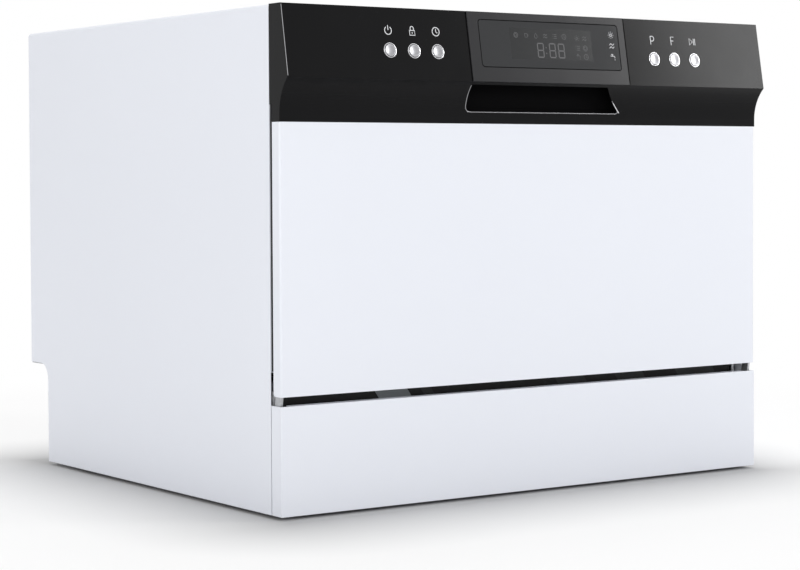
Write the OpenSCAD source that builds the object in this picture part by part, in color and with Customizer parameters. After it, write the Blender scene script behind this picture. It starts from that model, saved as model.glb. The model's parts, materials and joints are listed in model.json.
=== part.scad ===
// Countertop dishwasher: sheet-steel cabinet, steel tub, drop-down door with a
// moulded console, wire rack on rollers, spray arm, filters, heater and pump.
// X runs to the right, Y to the back, Z up. The origin is under the middle.

/* [Cabinet] */
// Overall width
cabinet_w = 550; // [530:1:600]
// Overall depth, console lip to rear panel
cabinet_d = 500; // [490:1:560]
// Overall height
cabinet_h = 438; // [430:1:470]
// Thickness of every sheet panel
sheet_t = 1; // [0.8:0.1:1.2]
// Height of the panels' lower edge over the table
floor_gap = 3; // [2:0.5:6]
// Depth of the cut-out at the foot of the back
notch_d = 38; // [30:1:45]
// Height of the top of that cut-out
notch_h = 102; // [95:1:110]
// Fillet in the corner of the cut-out
notch_r = 16; // [5:1:20]
// Outer bend radius of the cabinet's top edges
bend_r = 4; // [2:0.5:6]
// Width of the folded return round the cabinet's mouth
return_w = 8; // [5:0.5:10]
// Radius of a rubber foot
foot_r = 13; // [9:0.5:16]
// Height of the feet
foot_h = 10; // [8:0.5:14]

/* [Front] */
// How far the console's lip stands in front of the cabinet sides
front_reach = 30; // [28:0.5:36]
// How far the lip stands in front of the door face
lip_out = 13; // [9:0.5:15]
// How far the console's top edge sits behind the lip
top_in = 11; // [5:0.5:14]
// Height of the console
console_h = 100; // [95:1:110]
// Drop from the top of the console to its lip
lip_drop = 63; // [60:1:68]
// Wall of the console moulding
console_t = 2.5; // [2:0.25:3]
// Open seam between the door panel's sides and the cabinet
seam_w = 5; // [4:0.5:6]
// Height of the plinth's top edge
plinth_top = 97; // [90:1:100]
// Gap between the plinth and the door
door_gap = 8; // [7:0.5:12]
// Radius of the rear lower corner of the door's side return
door_corner_r = 3; // [2:0.5:4]

/* [Tub] */
// Distance of the tub's side walls from the cabinet's outer sides
tub_side_gap = 40; // [35:1:45]
// Height of the tub floor
tub_floor = 122; // [120:1:128]
// Height of the sill at the tub's mouth
tub_sill = 132; // [130:1:138]
// Drop from the cabinet's top to the tub's ceiling
tub_head = 26; // [24:1:33]
// Distance of the tub's back wall from the rear panel
tub_rear_gap = 45; // [42:1:50]
// Corner radius of the tub's cross-section
tub_r = 20; // [10:1:24]
// Width of the rubber door gasket
gasket_w = 10; // [8:0.5:11]

/* [Hinge] */
// Height of the hinge axis over the door's lower edge
hinge_up = 8; // [7:0.5:10]
// Depth of the hinge axis behind the door face
hinge_in = 7; // [6.5:0.5:8]
// Radius of a hinge pin
hinge_pin_r = 3; // [2:0.25:3.25]
// Radial play of a pin in its arm
pin_play = 0.08; // [0.05:0.01:0.1]
// Length of the arm's tail below the axis
tail_len = 45; // [38:1:50]

/* [Controls] */
// Radius of a button cap
button_r = 5.6; // [4.5:0.1:6]
// Clearance round a button
button_play = 0.3; // [0.2:0.05:0.4]
// Travel of a button
button_travel = 1.2; // [0.8:0.1:1.4]
// Distance of the buttons from the console's top edge, along its face
button_drop = 38; // [34:1:42]
// Spacing between neighbouring buttons
button_pitch = 25.5; // [22:0.5:27]
// Middle of the left-hand group of buttons
left_group_x = -141.8; // [-160:0.1:-135]
// Middle of the right-hand group of buttons
right_group_x = 161.8; // [150:0.1:180]
// Left edge of the raised display block
block_left = -81; // [-90:1:-75]
// Right edge of the raised display block
block_right = 101; // [95:1:108]
// How far the display block stands proud
block_out = 1.2; // [0.6:0.1:1.4]
// Depth of the finger pocket under the lip
pocket_h = 27; // [22:0.5:29]
// Corner radius of the finger pocket
pocket_r = 6; // [3:0.5:9]

/* [Rack] */
// Distance of the rack's side walls from the tub's side walls
rack_side_gap = 35; // [33:1:45]
// Distance of the rack's rear wall from the tub's back wall
rack_rear_gap = 40; // [35:1:55]
// Height of the rack floor over the tub floor
rack_lift = 40; // [38:1:44]
// Height of the rack's walls
rack_h = 96; // [80:1:105]
// Wire radius of the rack
wire_r = 1.6; // [1.2:0.1:2]
// Spacing of the floor wires
wire_pitch = 30; // [24:1:36]
// Height of a plate tine
tine_h = 58; // [45:1:65]
// Radius of the fixed rollers at the front of the runners
front_roller_r = 9; // [8:0.25:9.5]
// Radius of the rack's own rollers
rear_roller_r = 12; // [11:0.25:12.25]

/* [Wash system] */
// Least distance of the spray arm's tips from the tub's walls
spray_wall_gap = 20; // [18:1:50]
// Height of the spray arm over the tub floor
spray_lift = 18; // [17:0.5:20]
// Radius of the heater loop
heater_r = 150; // [140:1:158]
// Radius of the heater tube
heater_tube_r = 3.25; // [2.5:0.25:4]
// Radius of the sump bowl
sump_r = 55; // [48:1:58]
// Radius of the flat filter
filter_r = 75; // [70:1:80]
// Radius of the coarse filter cup
cup_r = 30; // [24:0.5:31]
// Radius of the threaded water inlet
inlet_r = 13.2; // [12:0.1:14]
// Radius of the drain spigot
drain_r = 10.5; // [9:0.1:12]

/* [Fits] */
// Gap between soft or formed pieces that almost touch
near_gap = 0.3; // [0.25:0.05:0.35]
// Radial play of a roller on its axle
roller_play = 0.08; // [0.05:0.01:0.1]
// Radius of a roller axle
axle_r = 3; // [2:0.25:3.5]

/* [Hidden] */

$fn = 48;
cut = 1;                                    // how far a cutter runs past a face
half_w = cabinet_w / 2;
in_w = half_w - sheet_t;                    // inner face of a side panel

// The console's face leans back: tilt, and the length up it
tilt = atan2(top_in, lip_drop);
face_len = norm([top_in, lip_drop]);
y_lip = -cabinet_d / 2 + block_out * cos(tilt);
y_rear = cabinet_d / 2;
y_cab = y_lip + front_reach;                // front edge of the cabinet sides
y_face = y_lip + lip_out;                   // outer face of the door
y_seam = y_cab - seam_w;                    // rear edge of the door's side returns
y_notch = y_rear - notch_d;
z_lip = cabinet_h - lip_drop;
z_con = cabinet_h - console_h;
z_door = plinth_top + door_gap;

// Hinge axis and the door's inner skins
hinge_y = y_face + hinge_in;
hinge_z = z_door + hinge_up;
liner_y = y_seam + sheet_t;                 // back of the liner's flange
liner_deep = 12;                            // depth of the liner's raised panel
liner_back = liner_y + liner_deep;
liner_w = half_w - 5;                       // half width of the liner
liner_low = z_door + 3;
liner_top = cabinet_h - 6;
arm_t = 2.5;
arm_x = in_w - 1.2 - arm_t;                 // inner face of a hinge arm
ear_t = 3;
ear_x = arm_x - 0.8 - ear_t;                // inner face of a bracket ear
ear_r = 4.5;

// Tub
tub_w = cabinet_w - 2 * tub_side_gap;
tub_top = cabinet_h - tub_head;
tub_half = tub_w / 2;
tub_front = y_cab + 2 * sheet_t;
tub_rear = y_rear - tub_rear_gap;
flange_y = tub_front - sheet_t;             // front face of the tub's flange
flange_w = in_w - 0.5;
flange_top = cabinet_h - 4;
flange_low = tub_sill - 14;
corner_clear_x = ear_x - 4.5;               // flange corners cut clear of the hinge
corner_clear_z = hinge_z + 12;
gasket_front = liner_y + near_gap;

// Base
tray_z = foot_h;
tray_t = 1.5;
tray_half = ear_x;
tray_front = tub_front + 4;
tray_rear = y_notch;
tray_wall = plinth_top - 35;
cross_low = tray_z + 20;
foot_x = half_w - 50;
foot_front = tray_front + 20;
foot_rear = y_notch - 22;

// Rack, its runners and its rollers
rack_w = tub_w - 2 * rack_side_gap;
rack_floor_z = tub_floor + rack_lift;
rack_top = rack_floor_z + rack_h;
rack_half = rack_w / 2;
rack_front_low = tub_front + 88;            // the front wall leans, to clear the door
rack_front_top = tub_front + 33;
rack_rear = tub_rear - rack_rear_gap;
channel_t = 1;
channel_low = rack_floor_z + 34;
channel_gap = 25;                           // clear height inside a runner
channel_in = tub_half - 21;
rail_t = 1.5;
rail_x = rack_half + wire_r + 6.4;          // inner face of a rack rail
rail_out = channel_in + 14;
front_roller_y = tub_front + 43;
front_roller_z = channel_low + 7;
rear_roller_y = rack_rear - 25;
rear_roller_z = channel_low + channel_t + near_gap + rear_roller_r;
rail_flange_z = front_roller_z + front_roller_r + near_gap;
roller_w = 14;

// Wash system
spray_r = min(tub_rear, -tub_front, tub_half) - spray_wall_gap;
sump_x = 120;
sump_front = 106.818;                       // distance of the sump's middle from the tub's front
sump_y = tub_front + sump_front;
sump_low = 45;
pump_z = 60;
pump_x = 0;
volute_r = 32;
motor_r = 30;
motor_len = 80;
heater_z = tub_floor + 8;
heater_from = 30;
heater_to = 255;
float_in = 43;                              // distance of the float from the tub's left wall
float_x = -tub_half + float_in;
float_y = sump_y - 40;
post_r = 14;
strike_z = tub_top + gasket_w + 5;
strike_len = 10;
strike_w = 12;
post_low = 62;
outlet_z = pump_z + 20;
drain_y = sump_y + sump_r + 12;
spray_z = tub_floor + spray_lift;
spray_t = 8;
spray_hub = 11;
spray_pin_r = 8;
roller_in = channel_in + 2;

// Layout of the door's controls, its latch and its dispenser
button_xs = [for (group = [left_group_x, right_group_x], i = [-1 : 1]) group + i * button_pitch];
window_left = block_left + 12;
window_right = block_right - 8;
window_low = 13.7;
window_top = face_len - 7.5;
board_in = 6.2;
button_flange = 0.8;                        // thickness of the flange behind the console's wall
button_deep = console_t + near_gap + button_flange;
board_low = 18;
board_top = face_len - 7;
pocket_back = liner_y - sheet_t - 3;
pocket_top = z_lip + 9;
latch_front = liner_y - 7.5;
latch_y0 = flange_y - strike_len + 2.3;
arm_len = 150;
disp_left = -158;
disp_right = 12;
disp_low = 215;
disp_top = 290;
disp_deep = liner_back - 20;
lid_low = disp_low + 9;
lid_top = disp_top - 9;
lid_front = liner_back + 3.3;
cup_left = -100;
cup_right = -52;
cap_x = -22;
cap_r = 16;

// Layout of the rack's wires
lay = 2 * wire_r - 0.6;
floor_n = 10;
floor_step = rack_w / floor_n;
cross_n = 7;
cross_step = (rack_rear - rack_front_low - 8) / cross_n;
tine_gap = 40;                              // room left in front of the rear wall by the tines
tine_n = floor((rack_rear - rack_front_low - tine_gap) / wire_pitch);
basket = [88, 118, 108];
basket_wall = 2;
basket_grip = [16, 22, 3];                  // width, height over the basket and thickness of its handle
basket_x = rack_half - basket.x - 12;
basket_y = rack_front_low + 16.8;
shelf_reach = 86;
shelf_front = -60;
shelf_rear = 110;
shelf_z = rack_top - 22;
breather_y = 60;
breather_z = 300;
breather_box = [160, 130];                  // depth and height of the water chamber
breather_stub = 40;
breather_flange_r = 18;
box_size = [90, 120, 46];                   // control box in the base
box_side_gap = 22;
box_rear_gap = 62;

// Door springs
spring_r = 2.2;
spring_peg_r = 1.5;
spring_x = arm_x + arm_t / 2;
spring_y = hinge_y + 6;
spring_low = 30;
spring_top = hinge_z - tail_len - 5;
inlet_x = -180;
inlet_z = 55;
drain_x = 120;
drain_z = 52;
cord_x = -60;

// ---------- helpers ----------

// Extrudes a (y, z) outline along X
module along_x(x0, x1) {
    translate([x0, 0, 0]) rotate([90, 0, 90]) linear_extrude(x1 - x0) children();
}

// Extrudes an (x, z) outline along Y
module along_y(y0, y1) {
    translate([0, y1, 0]) rotate([90, 0, 0]) linear_extrude(y1 - y0) children();
}

// A box between two corners
module block(a, b) {
    translate(a) cube(b - a);
}

// Rectangle with round corners: all four, or the two upper ones
module round_rect(a, b, r, low_r = -1) {
    q = low_r < 0 ? r : low_r;
    translate([a.x + r, a.y + q]) square([b.x - a.x - 2 * r, b.y - a.y - q]);
    translate([a.x, a.y + q]) square([b.x - a.x, b.y - a.y - q - r]);
    for (x = [a.x + r, b.x - r]) translate([x, b.y - r]) circle(r);
    if (q > 0) {
        translate([a.x + q, a.y]) square([b.x - a.x - 2 * q, b.y - a.y - r]);
        for (x = [a.x + q, b.x - q]) translate([x, a.y + q]) circle(q);
    }
}

// A cylinder between two points that differ along one axis
module rod_x(x0, x1, y, z, r) {
    translate([x0, y, z]) rotate([0, 90, 0]) cylinder(h = x1 - x0, r = r);
}

module rod_y(y0, y1, x, z, r) {
    translate([x, y0, z]) rotate([-90, 0, 0]) cylinder(h = y1 - y0, r = r);
}

// The same things on both sides of the middle
module both_sides() {
    for (s = [0, 1]) mirror([s, 0, 0]) children();
}

// A straight wire with eight flats between two points
module wire(a, b, r = wire_r) {
    d = b - a;
    length = norm(d);
    translate(a)
        rotate([0, acos(d.z / length), atan2(d.y, d.x)])
            rotate([0, 0, 22.5]) cylinder(h = length, r = r, $fn = 8);
}

// Works in the console face's own frame: X right, Y inward, Z up the face from the lip
module on_face() {
    translate([0, y_lip, z_lip]) rotate([-tilt, 0, 0]) children();
}

// ---------- cabinet ----------

// Side view of what the cut-out at the foot of the back takes away
module notch_outline() {
    difference() {
        translate([y_notch, -cut]) square([notch_d + cut, notch_h + cut]);
        difference() {
            translate([y_notch - cut, notch_h - notch_r])
                square([notch_r + cut, notch_r + cut]);
            translate([y_notch + notch_r, notch_h - notch_r]) circle(notch_r);
        }
    }
}

module outer_wrapper() {
    color("gainsboro") difference() {
        union() {
            along_y(y_cab, y_rear) difference() {
                round_rect([-half_w, floor_gap], [half_w, cabinet_h], bend_r, 0);
                round_rect([-in_w, floor_gap - cut], [in_w, cabinet_h - sheet_t],
                           bend_r - sheet_t, 0);
            }
            along_y(y_cab, y_cab + sheet_t) difference() {
                round_rect([-in_w, corner_clear_z], [in_w, cabinet_h - sheet_t],
                           bend_r - sheet_t, 0);
                translate([-in_w + return_w, corner_clear_z - cut])
                    square([2 * (in_w - return_w),
                            cabinet_h - sheet_t - return_w - corner_clear_z + cut]);
                translate([-28, cabinet_h - 20]) square([56, 16]);
            }
        }
        along_x(-half_w - cut, half_w + cut) notch_outline();
    }
}

module rear_panel() {
    bead_w = 14;
    color("lightgray") difference() {
        union() {
            block([-in_w, y_rear - sheet_t, notch_h], [in_w, y_rear, cabinet_h - bend_r]);
            block([-in_w, y_notch, notch_h - sheet_t], [in_w, y_rear, notch_h]);
            block([-tray_half, y_notch, notch_h - 16],
                  [tray_half, y_notch + sheet_t, notch_h - sheet_t]);
            for (x = [-150, 0, 150])
                block([x - bead_w / 2, y_rear - 2 * sheet_t, notch_h + 40],
                      [x + bead_w / 2, y_rear - sheet_t, cabinet_h - 40]);
        }
        for (x = [-in_w + 12, -75, 75, in_w - 12], z = [notch_h + 20, cabinet_h - 20])
            rod_y(y_rear - sheet_t - cut, y_rear + cut, x, z, 2);
        for (x = [-100 : 20 : 100])
            block([x - 7, y_rear - sheet_t - cut, notch_h + 8],
                  [x + 7, y_rear + cut, notch_h + 11]);
    }
}

// ---------- base ----------

module plinth_panel() {
    tab_x = 200;
    tab_w = 30;
    tab_z = plinth_top - 34;
    color("gainsboro") difference() {
        union() {
            along_x(-half_w, half_w) difference() {
                translate([y_face, floor_gap])
                    square([y_cab - sheet_t - y_face, plinth_top - floor_gap]);
                translate([y_face + sheet_t, floor_gap + sheet_t])
                    square([y_cab - y_face, plinth_top - floor_gap - 2 * sheet_t]);
                translate([y_face + 10, floor_gap - cut])
                    square([y_cab - y_face, plinth_top - floor_gap + 2 * cut]);
            }
            both_sides() {
                block([in_w, y_face, floor_gap], [half_w, y_cab - sheet_t, plinth_top]);
                block([tab_x - tab_w / 2, y_face + sheet_t, tab_z],
                      [tab_x + tab_w / 2, tray_front - sheet_t, tab_z + sheet_t]);
                block([tab_x - tab_w / 2, tray_front - 2 * sheet_t, tab_z - 20],
                      [tab_x + tab_w / 2, tray_front - sheet_t, tab_z]);
            }
        }
        // openings in the upper flange, where the hinge arms' tails pass
        both_sides() block([ear_x - 2.5, y_face + 2 * sheet_t, plinth_top - 2 * sheet_t],
                           [in_w, y_cab, plinth_top + cut]);
    }
}

module base_tray() {
    color("dimgray") difference() {
        union() {
            block([-tray_half, tray_front, tray_z], [tray_half, tray_rear, tray_z + tray_t]);
            block([-tray_half, tray_front, tray_z], [tray_half, tray_front + tray_t, tray_wall]);
            block([-tray_half, tray_rear - tray_t, tray_z],
                  [tray_half, tray_rear, notch_h - sheet_t]);
            both_sides() {
                block([tray_half - tray_t, tray_front, tray_z],
                      [tray_half, tray_rear, tray_wall]);
                block([tray_half, tray_front + 60, tray_z + 4],
                      [in_w, tray_rear, tray_z + 4 + tray_t]);
            }
        }
        rod_y(tray_rear - tray_t - cut, tray_rear + cut, inlet_x, inlet_z, inlet_r + 1);
        rod_y(tray_rear - tray_t - cut, tray_rear + cut, drain_x, drain_z, drain_r + 1);
        rod_y(tray_rear - tray_t - cut, tray_rear + cut, cord_x, inlet_z, 9);
        for (x = [-60, -30, 0, 30, 60], k = [0 : 2])
            translate([x, tray_rear - 132 + 30 * k, tray_z - cut])
                cylinder(h = tray_t + 2 * cut, r = 4);
        both_sides() for (y = [foot_front, foot_rear])
            translate([foot_x, y, tray_z - cut]) cylinder(h = tray_t + 2 * cut, r = 3);
    }
}

module rubber_feet() {
    color([0.12, 0.12, 0.12]) both_sides() for (y = [foot_front, foot_rear])
        translate([foot_x, y, 0]) {
            cylinder(h = 2, r1 = foot_r - 1.5, r2 = foot_r);
            translate([0, 0, 2]) cylinder(h = foot_h - 2, r = foot_r);
            translate([0, 0, foot_h]) cylinder(h = tray_t, r = 2.8);
        }
}

// Cross-member behind the plinth: carries the tub's front edge and the plinth
module front_crossmember() {
    slot_pitch = 76;
    color("silver") difference() {
        union() {
            along_x(-corner_clear_x, corner_clear_x) {
                translate([tray_front - sheet_t, cross_low])
                    square([sheet_t, tub_floor - sheet_t - cross_low]);
                translate([tray_front - sheet_t, tub_floor - 2 * sheet_t])
                    square([24, sheet_t]);
                translate([tray_front, tray_wall + 2]) square([10, sheet_t]);
            }
            for (x = [-190 : slot_pitch : 190])
                block([x - 1.5, tray_front, tray_wall + 3],
                      [x + 1.5, tray_front + 10, tub_floor - 2 * sheet_t]);
        }
        for (x = [-152 : slot_pitch : 160])
            block([x - 22, tray_front - cut - sheet_t, tray_wall + 14],
                  [x + 22, tray_front + cut, tray_wall + 26]);
    }
}

// Bolted to the tray's sides: an ear for the hinge pin, and a peg for the door spring
module hinge_brackets() {
    leg_w = 18;
    color("silver") both_sides() {
        difference() {
            along_x(ear_x, ear_x + ear_t) {
                translate([hinge_y, hinge_z]) circle(ear_r);
                translate([hinge_y, hinge_z - ear_r])
                    square([tray_front + leg_w - hinge_y, 2 * ear_r]);
                translate([tray_front, tray_z + 6])
                    square([leg_w, hinge_z - tray_z - 6]);
                translate([spring_y - 4, spring_low - 8])
                    square([tray_front - spring_y + 4, 8]);
                translate([tray_front + leg_w, tray_z + 6]) square([30, 20]);
            }
            rod_x(ear_x - cut, ear_x + ear_t + cut, hinge_y, hinge_z, hinge_pin_r);
            rod_x(ear_x - cut, ear_x + ear_t + cut, tray_front + 34, tray_z + 16, 2.5);
        }
        rod_x(ear_x + ear_t, spring_x + spring_r, spring_y, spring_low - spring_peg_r,
              spring_peg_r);
    }
}

module hinge_pins() {
    head_r = hinge_pin_r + 1;
    color("darkgray") both_sides() {
        rod_x(ear_x - 1.2, ear_x, hinge_y, hinge_z, head_r);
        rod_x(ear_x, arm_x + arm_t + 0.2, hinge_y, hinge_z, hinge_pin_r);
        rod_x(arm_x + arm_t + 0.2, in_w - 0.3, hinge_y, hinge_z, head_r);
    }
}

// Slim extension springs, from each arm's tail down to the peg on its bracket
module door_springs() {
    color("slategray") both_sides() translate([spring_x, spring_y, spring_low + near_gap])
        difference() {
            cylinder(h = spring_top - spring_low - 2 * near_gap, r = spring_r);
            translate([0, 0, 2])
                cylinder(h = spring_top - spring_low - 2 * near_gap - 4, r = spring_r - 0.8);
        }
}

module latch_strike() {
    plate_w = 26;
    color("silver") difference() {
        union() {
            block([-plate_w, flange_y - 1.5, strike_z - 3], [plate_w, flange_y, strike_z + 6]);
            block([-strike_w / 2, flange_y - strike_len, strike_z],
                  [strike_w / 2, flange_y - 1.5, strike_z + 2]);
            block([-strike_w / 2, flange_y - strike_len, strike_z - 2.5],
                  [strike_w / 2, flange_y - strike_len + 2, strike_z]);
        }
        for (x = [-20, 20]) rod_y(flange_y - 2.5, flange_y + cut, x, strike_z + 1.5, 1.8);
    }
}

module cord_grommet() {
    color([0.1, 0.1, 0.1]) difference() {
        union() {
            rod_y(tray_rear - tray_t, tray_rear, cord_x, inlet_z, 9);
            rod_y(tray_rear, tray_rear + 3, cord_x, inlet_z, 12);
            rod_y(tray_rear - tray_t - 3, tray_rear - tray_t, cord_x, inlet_z, 12);
            rod_y(tray_rear + 3, tray_rear + 14, cord_x, inlet_z, 6.5);
        }
        rod_y(tray_rear - 8, tray_rear + 15, cord_x, inlet_z, 3.6);
    }
}

module control_box() {
    plug = [8, 12, 10];
    color([0.2, 0.2, 0.22]) translate([-tray_half + box_side_gap,
                                       tray_rear - box_rear_gap - box_size.y, tray_z + tray_t]) {
        cube(box_size);
        for (k = [1 : 5]) translate([box_size.x, k * box_size.y / 6, box_size.z / 2 - plug.z / 2])
            cube(plug);
    }
}

// ---------- tub ----------

module tub_mouth() {
    round_rect([-tub_half, tub_sill], [tub_half, tub_top], tub_r, 6);
}

// Side walls, ceiling and front flange, folded from one sheet
module tub_wrap() {
    color("silver") difference() {
        union() {
            along_y(tub_front, tub_rear) difference() {
                round_rect([-tub_half - sheet_t, tub_floor - sheet_t],
                           [tub_half + sheet_t, tub_top + sheet_t], tub_r + sheet_t, 0);
                round_rect([-tub_half, tub_floor - sheet_t - cut], [tub_half, tub_top],
                           tub_r, 0);
            }
            along_y(flange_y, tub_front) difference() {
                translate([-flange_w, flange_low])
                    square([2 * flange_w, flange_top - flange_low]);
                tub_mouth();
                for (s = [-1, 1]) translate([s * flange_w, flange_low])
                    square([2 * (flange_w - corner_clear_x),
                            2 * (corner_clear_z - flange_low)], center = true);
            }
        }
        rod_x(-tub_half - cut - sheet_t, -tub_half + cut, breather_y, breather_z, 10);
    }
}

module tub_back() {
    rib_half = tub_half - 65;
    rib_h = 30;
    color("silver") {
        along_y(tub_rear, tub_rear + sheet_t)
            round_rect([-tub_half - sheet_t, tub_floor - sheet_t],
                       [tub_half + sheet_t, tub_top + sheet_t], tub_r + sheet_t, 0);
        for (z = [tub_floor + 60, tub_top - 60])
            block([-rib_half, tub_rear + sheet_t, z],
                  [rib_half, tub_rear + 3 * sheet_t, z + rib_h]);
        both_sides() block([rib_half - 30, tub_rear + 3 * sheet_t, tub_floor + 68],
                           [rib_half - 10, y_rear - 2 * sheet_t, tub_floor + 82]);
    }
}

// Bottom pan: a raised ledge behind the sill, then the floor with its drain hole
module tub_floor_pan() {
    ledge_z = tub_sill - 1;
    ledge_y = tub_front + 14;
    color("silver") difference() {
        union() {
            along_x(-tub_half, tub_half) difference() {
                polygon([[tub_front, ledge_z - sheet_t], [tub_front, ledge_z],
                         [ledge_y, ledge_z], [ledge_y + 8, tub_floor],
                         [tub_rear, tub_floor], [tub_rear, tub_floor - sheet_t],
                         [ledge_y + 7.4, tub_floor - sheet_t],
                         [ledge_y - 0.6, ledge_z - sheet_t]]);
            }
        }
        translate([sump_x, sump_y, tub_floor - 5]) cylinder(h = 10, r = sump_r - 1);
        translate([0, 0, tub_floor - 5]) cylinder(h = 10, r = post_r + 1.5);
        translate([float_x, float_y, tub_floor - 5]) cylinder(h = 10, r = 5);
        for (a = [heater_from, heater_to])
            translate([heater_r * cos(a), heater_r * sin(a), tub_floor - 5])
                cylinder(h = 10, r = heater_tube_r + 1);
    }
}

module tub_gasket() {
    low = corner_clear_z + 1;
    color([0.25, 0.25, 0.26]) along_y(gasket_front, flange_y) difference() {
        round_rect([-tub_half - gasket_w - 1, low], [tub_half + gasket_w + 1, tub_top + gasket_w + 1],
                   tub_r, 0);
        round_rect([-tub_half - 1, low - cut], [tub_half + 1, tub_top + 1], tub_r, 0);
    }
}

module rack_runners() {
    z0 = channel_low;
    z1 = channel_low + channel_gap + 2 * channel_t;
    color("silver") both_sides() {
        block([tub_half - channel_t, tub_front + 13, z0], [tub_half, tub_rear - 20, z1]);
        block([channel_in, tub_front + 13, z1 - channel_t], [tub_half, tub_rear - 20, z1]);
        block([channel_in, front_roller_y + front_roller_r + 4, z0],
              [tub_half, tub_rear - 20, z0 + channel_t]);
        rod_x(roller_in - 2, tub_half - channel_t, front_roller_y, front_roller_z, axle_r);
        rod_x(roller_in - 3.5, roller_in - 2, front_roller_y, front_roller_z, axle_r + 1.5);
    }
}

// ---------- wash system ----------

module sump() {
    wall = 3;
    color([0.3, 0.3, 0.32]) difference() {
        union() {
            translate([sump_x, sump_y, sump_low])
                cylinder(h = tub_floor - sheet_t - sump_low, r = sump_r);
            translate([sump_x, sump_y, tub_floor - sheet_t - 3]) cylinder(h = 3, r = sump_r + 8);
            for (a = [45 : 90 : 315])
                translate([sump_x + 34 * cos(a), sump_y + 34 * sin(a), tray_z + tray_t])
                    cylinder(h = sump_low - tray_z - tray_t, r = 5);
        }
        translate([sump_x, sump_y, sump_low + wall])
            cylinder(h = tub_floor - sump_low, r = sump_r - wall);
        rod_x(sump_x - sump_r - cut, sump_x - sump_r + 8, sump_y, pump_z, 9);
        rod_y(sump_y + sump_r - 8, sump_y + sump_r + cut, drain_x, drain_z + 8, 6);
    }
}

module flat_filter() {
    color([0.55, 0.56, 0.58]) difference() {
        union() {
            translate([sump_x, sump_y, tub_floor]) cylinder(h = 2, r = filter_r);
            translate([sump_x, sump_y, tub_floor - 6]) cylinder(h = 6, r = sump_r - 4);
        }
        translate([sump_x, sump_y, tub_floor - 7]) cylinder(h = 10, r = cup_r + 1);
        translate([sump_x, sump_y, tub_floor - 7]) difference() {
            cylinder(h = 7, r = sump_r - 6);
            cylinder(h = 7, r = cup_r + 4);
        }
        for (ring = [0 : 1], i = [0 : 23]) rotate_about(sump_x, sump_y, i * 15)
            translate([cup_r + 9 + 8 * ring, 0, tub_floor - 1]) cylinder(h = 5, r = 1.8);
    }
}

module rotate_about(x, y, a) {
    translate([x, y, 0]) rotate([0, 0, a]) children();
}

// Hollow post that feeds the spray arm, with a nut above the floor
module spray_support() {
    color([0.35, 0.35, 0.37]) difference() {
        union() {
            translate([0, 0, post_low]) cylinder(h = spray_z - 1 - post_low, r = post_r);
            translate([0, 0, tub_floor - sheet_t - 4]) cylinder(h = 4, r = post_r + 7);
            translate([0, 0, tub_floor]) cylinder(h = 5, r = post_r + 6);
            translate([0, 0, spray_z - 1]) cylinder(h = spray_hub + 1, r = spray_pin_r);
        }
        translate([0, 0, post_low + 3]) cylinder(h = spray_z - post_low - 8, r = post_r - 3);
        translate([0, 0, spray_z - 6]) cylinder(h = spray_hub + 3, r = spray_pin_r - 3);
        rod_y(-post_r - cut, 0, 0, outlet_z, 7);
    }
}

module wash_pump() {
    color([0.28, 0.29, 0.32]) {
        difference() {
            union() {
                rod_x(pump_x - 12, pump_x + 12, sump_y, pump_z, volute_r);
                rod_x(pump_x + 12, sump_x - sump_r + 4, sump_y, pump_z, 12);
                rod_y(sump_y, -post_r + 4, pump_x, outlet_z, 10);
            }
            translate([sump_x, sump_y, pump_z - 30]) cylinder(h = 60, r = sump_r);
            translate([0, 0, outlet_z - 30]) cylinder(h = 60, r = post_r);
            rod_x(pump_x - 8, sump_x, sump_y, pump_z, 8);
            rod_y(sump_y, 0, pump_x, outlet_z, 7);
        }
        rod_x(pump_x - 12 - motor_len, pump_x - 12, sump_y, pump_z, motor_r);
        rod_x(pump_x - 20 - motor_len, pump_x - 12 - motor_len, sump_y, pump_z, 12);
        for (x = [pump_x - 80, pump_x - 28])
            block([x - 5, sump_y - 22, tray_z + tray_t], [x + 5, sump_y + 22, pump_z - 22]);
    }
}

module drain_pump() {
    color([0.2, 0.2, 0.22]) {
        difference() {
            union() {
                rod_y(sump_y + sump_r - 6, drain_y, drain_x, drain_z, 9);
                rod_y(drain_y, drain_y + 44, drain_x, drain_z, 24);
                rod_y(drain_y + 44, tray_rear + 3, drain_x, drain_z, 8);
                rod_y(tray_rear, tray_rear + 3, drain_x, drain_z, drain_r + 4);
                rod_y(tray_rear + 3, y_rear - 10, drain_x, drain_z, drain_r);
                block([drain_x - 14, drain_y + 6, tray_z + tray_t],
                      [drain_x + 14, drain_y + 38, drain_z - 18]);
            }
            translate([sump_x, sump_y, drain_z - 30]) cylinder(h = 60, r = sump_r);
            rod_y(tray_rear - 40, y_rear, drain_x, drain_z, 6.5);
        }
    }
}

// Tubular heater: an open loop over the floor whose ends drop through it
module heater() {
    color("darkgray") {
        translate([0, 0, heater_z]) rotate([0, 0, heater_from])
            rotate_extrude(angle = heater_to - heater_from, $fn = 96)
                translate([heater_r, 0]) circle(heater_tube_r, $fn = 24);
        for (a = [heater_from, heater_to])
            translate([heater_r * cos(a), heater_r * sin(a), 0]) {
                translate([0, 0, tub_floor - 22])
                    cylinder(h = heater_z - tub_floor + 22, r = heater_tube_r);
                translate([0, 0, heater_z - heater_tube_r - 1])
                    cylinder(h = 2 * heater_tube_r + 2, r = heater_tube_r + 1);
                translate([0, 0, tub_floor - sheet_t - 8]) cylinder(h = 8, r = 8);
            }
    }
}

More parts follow.
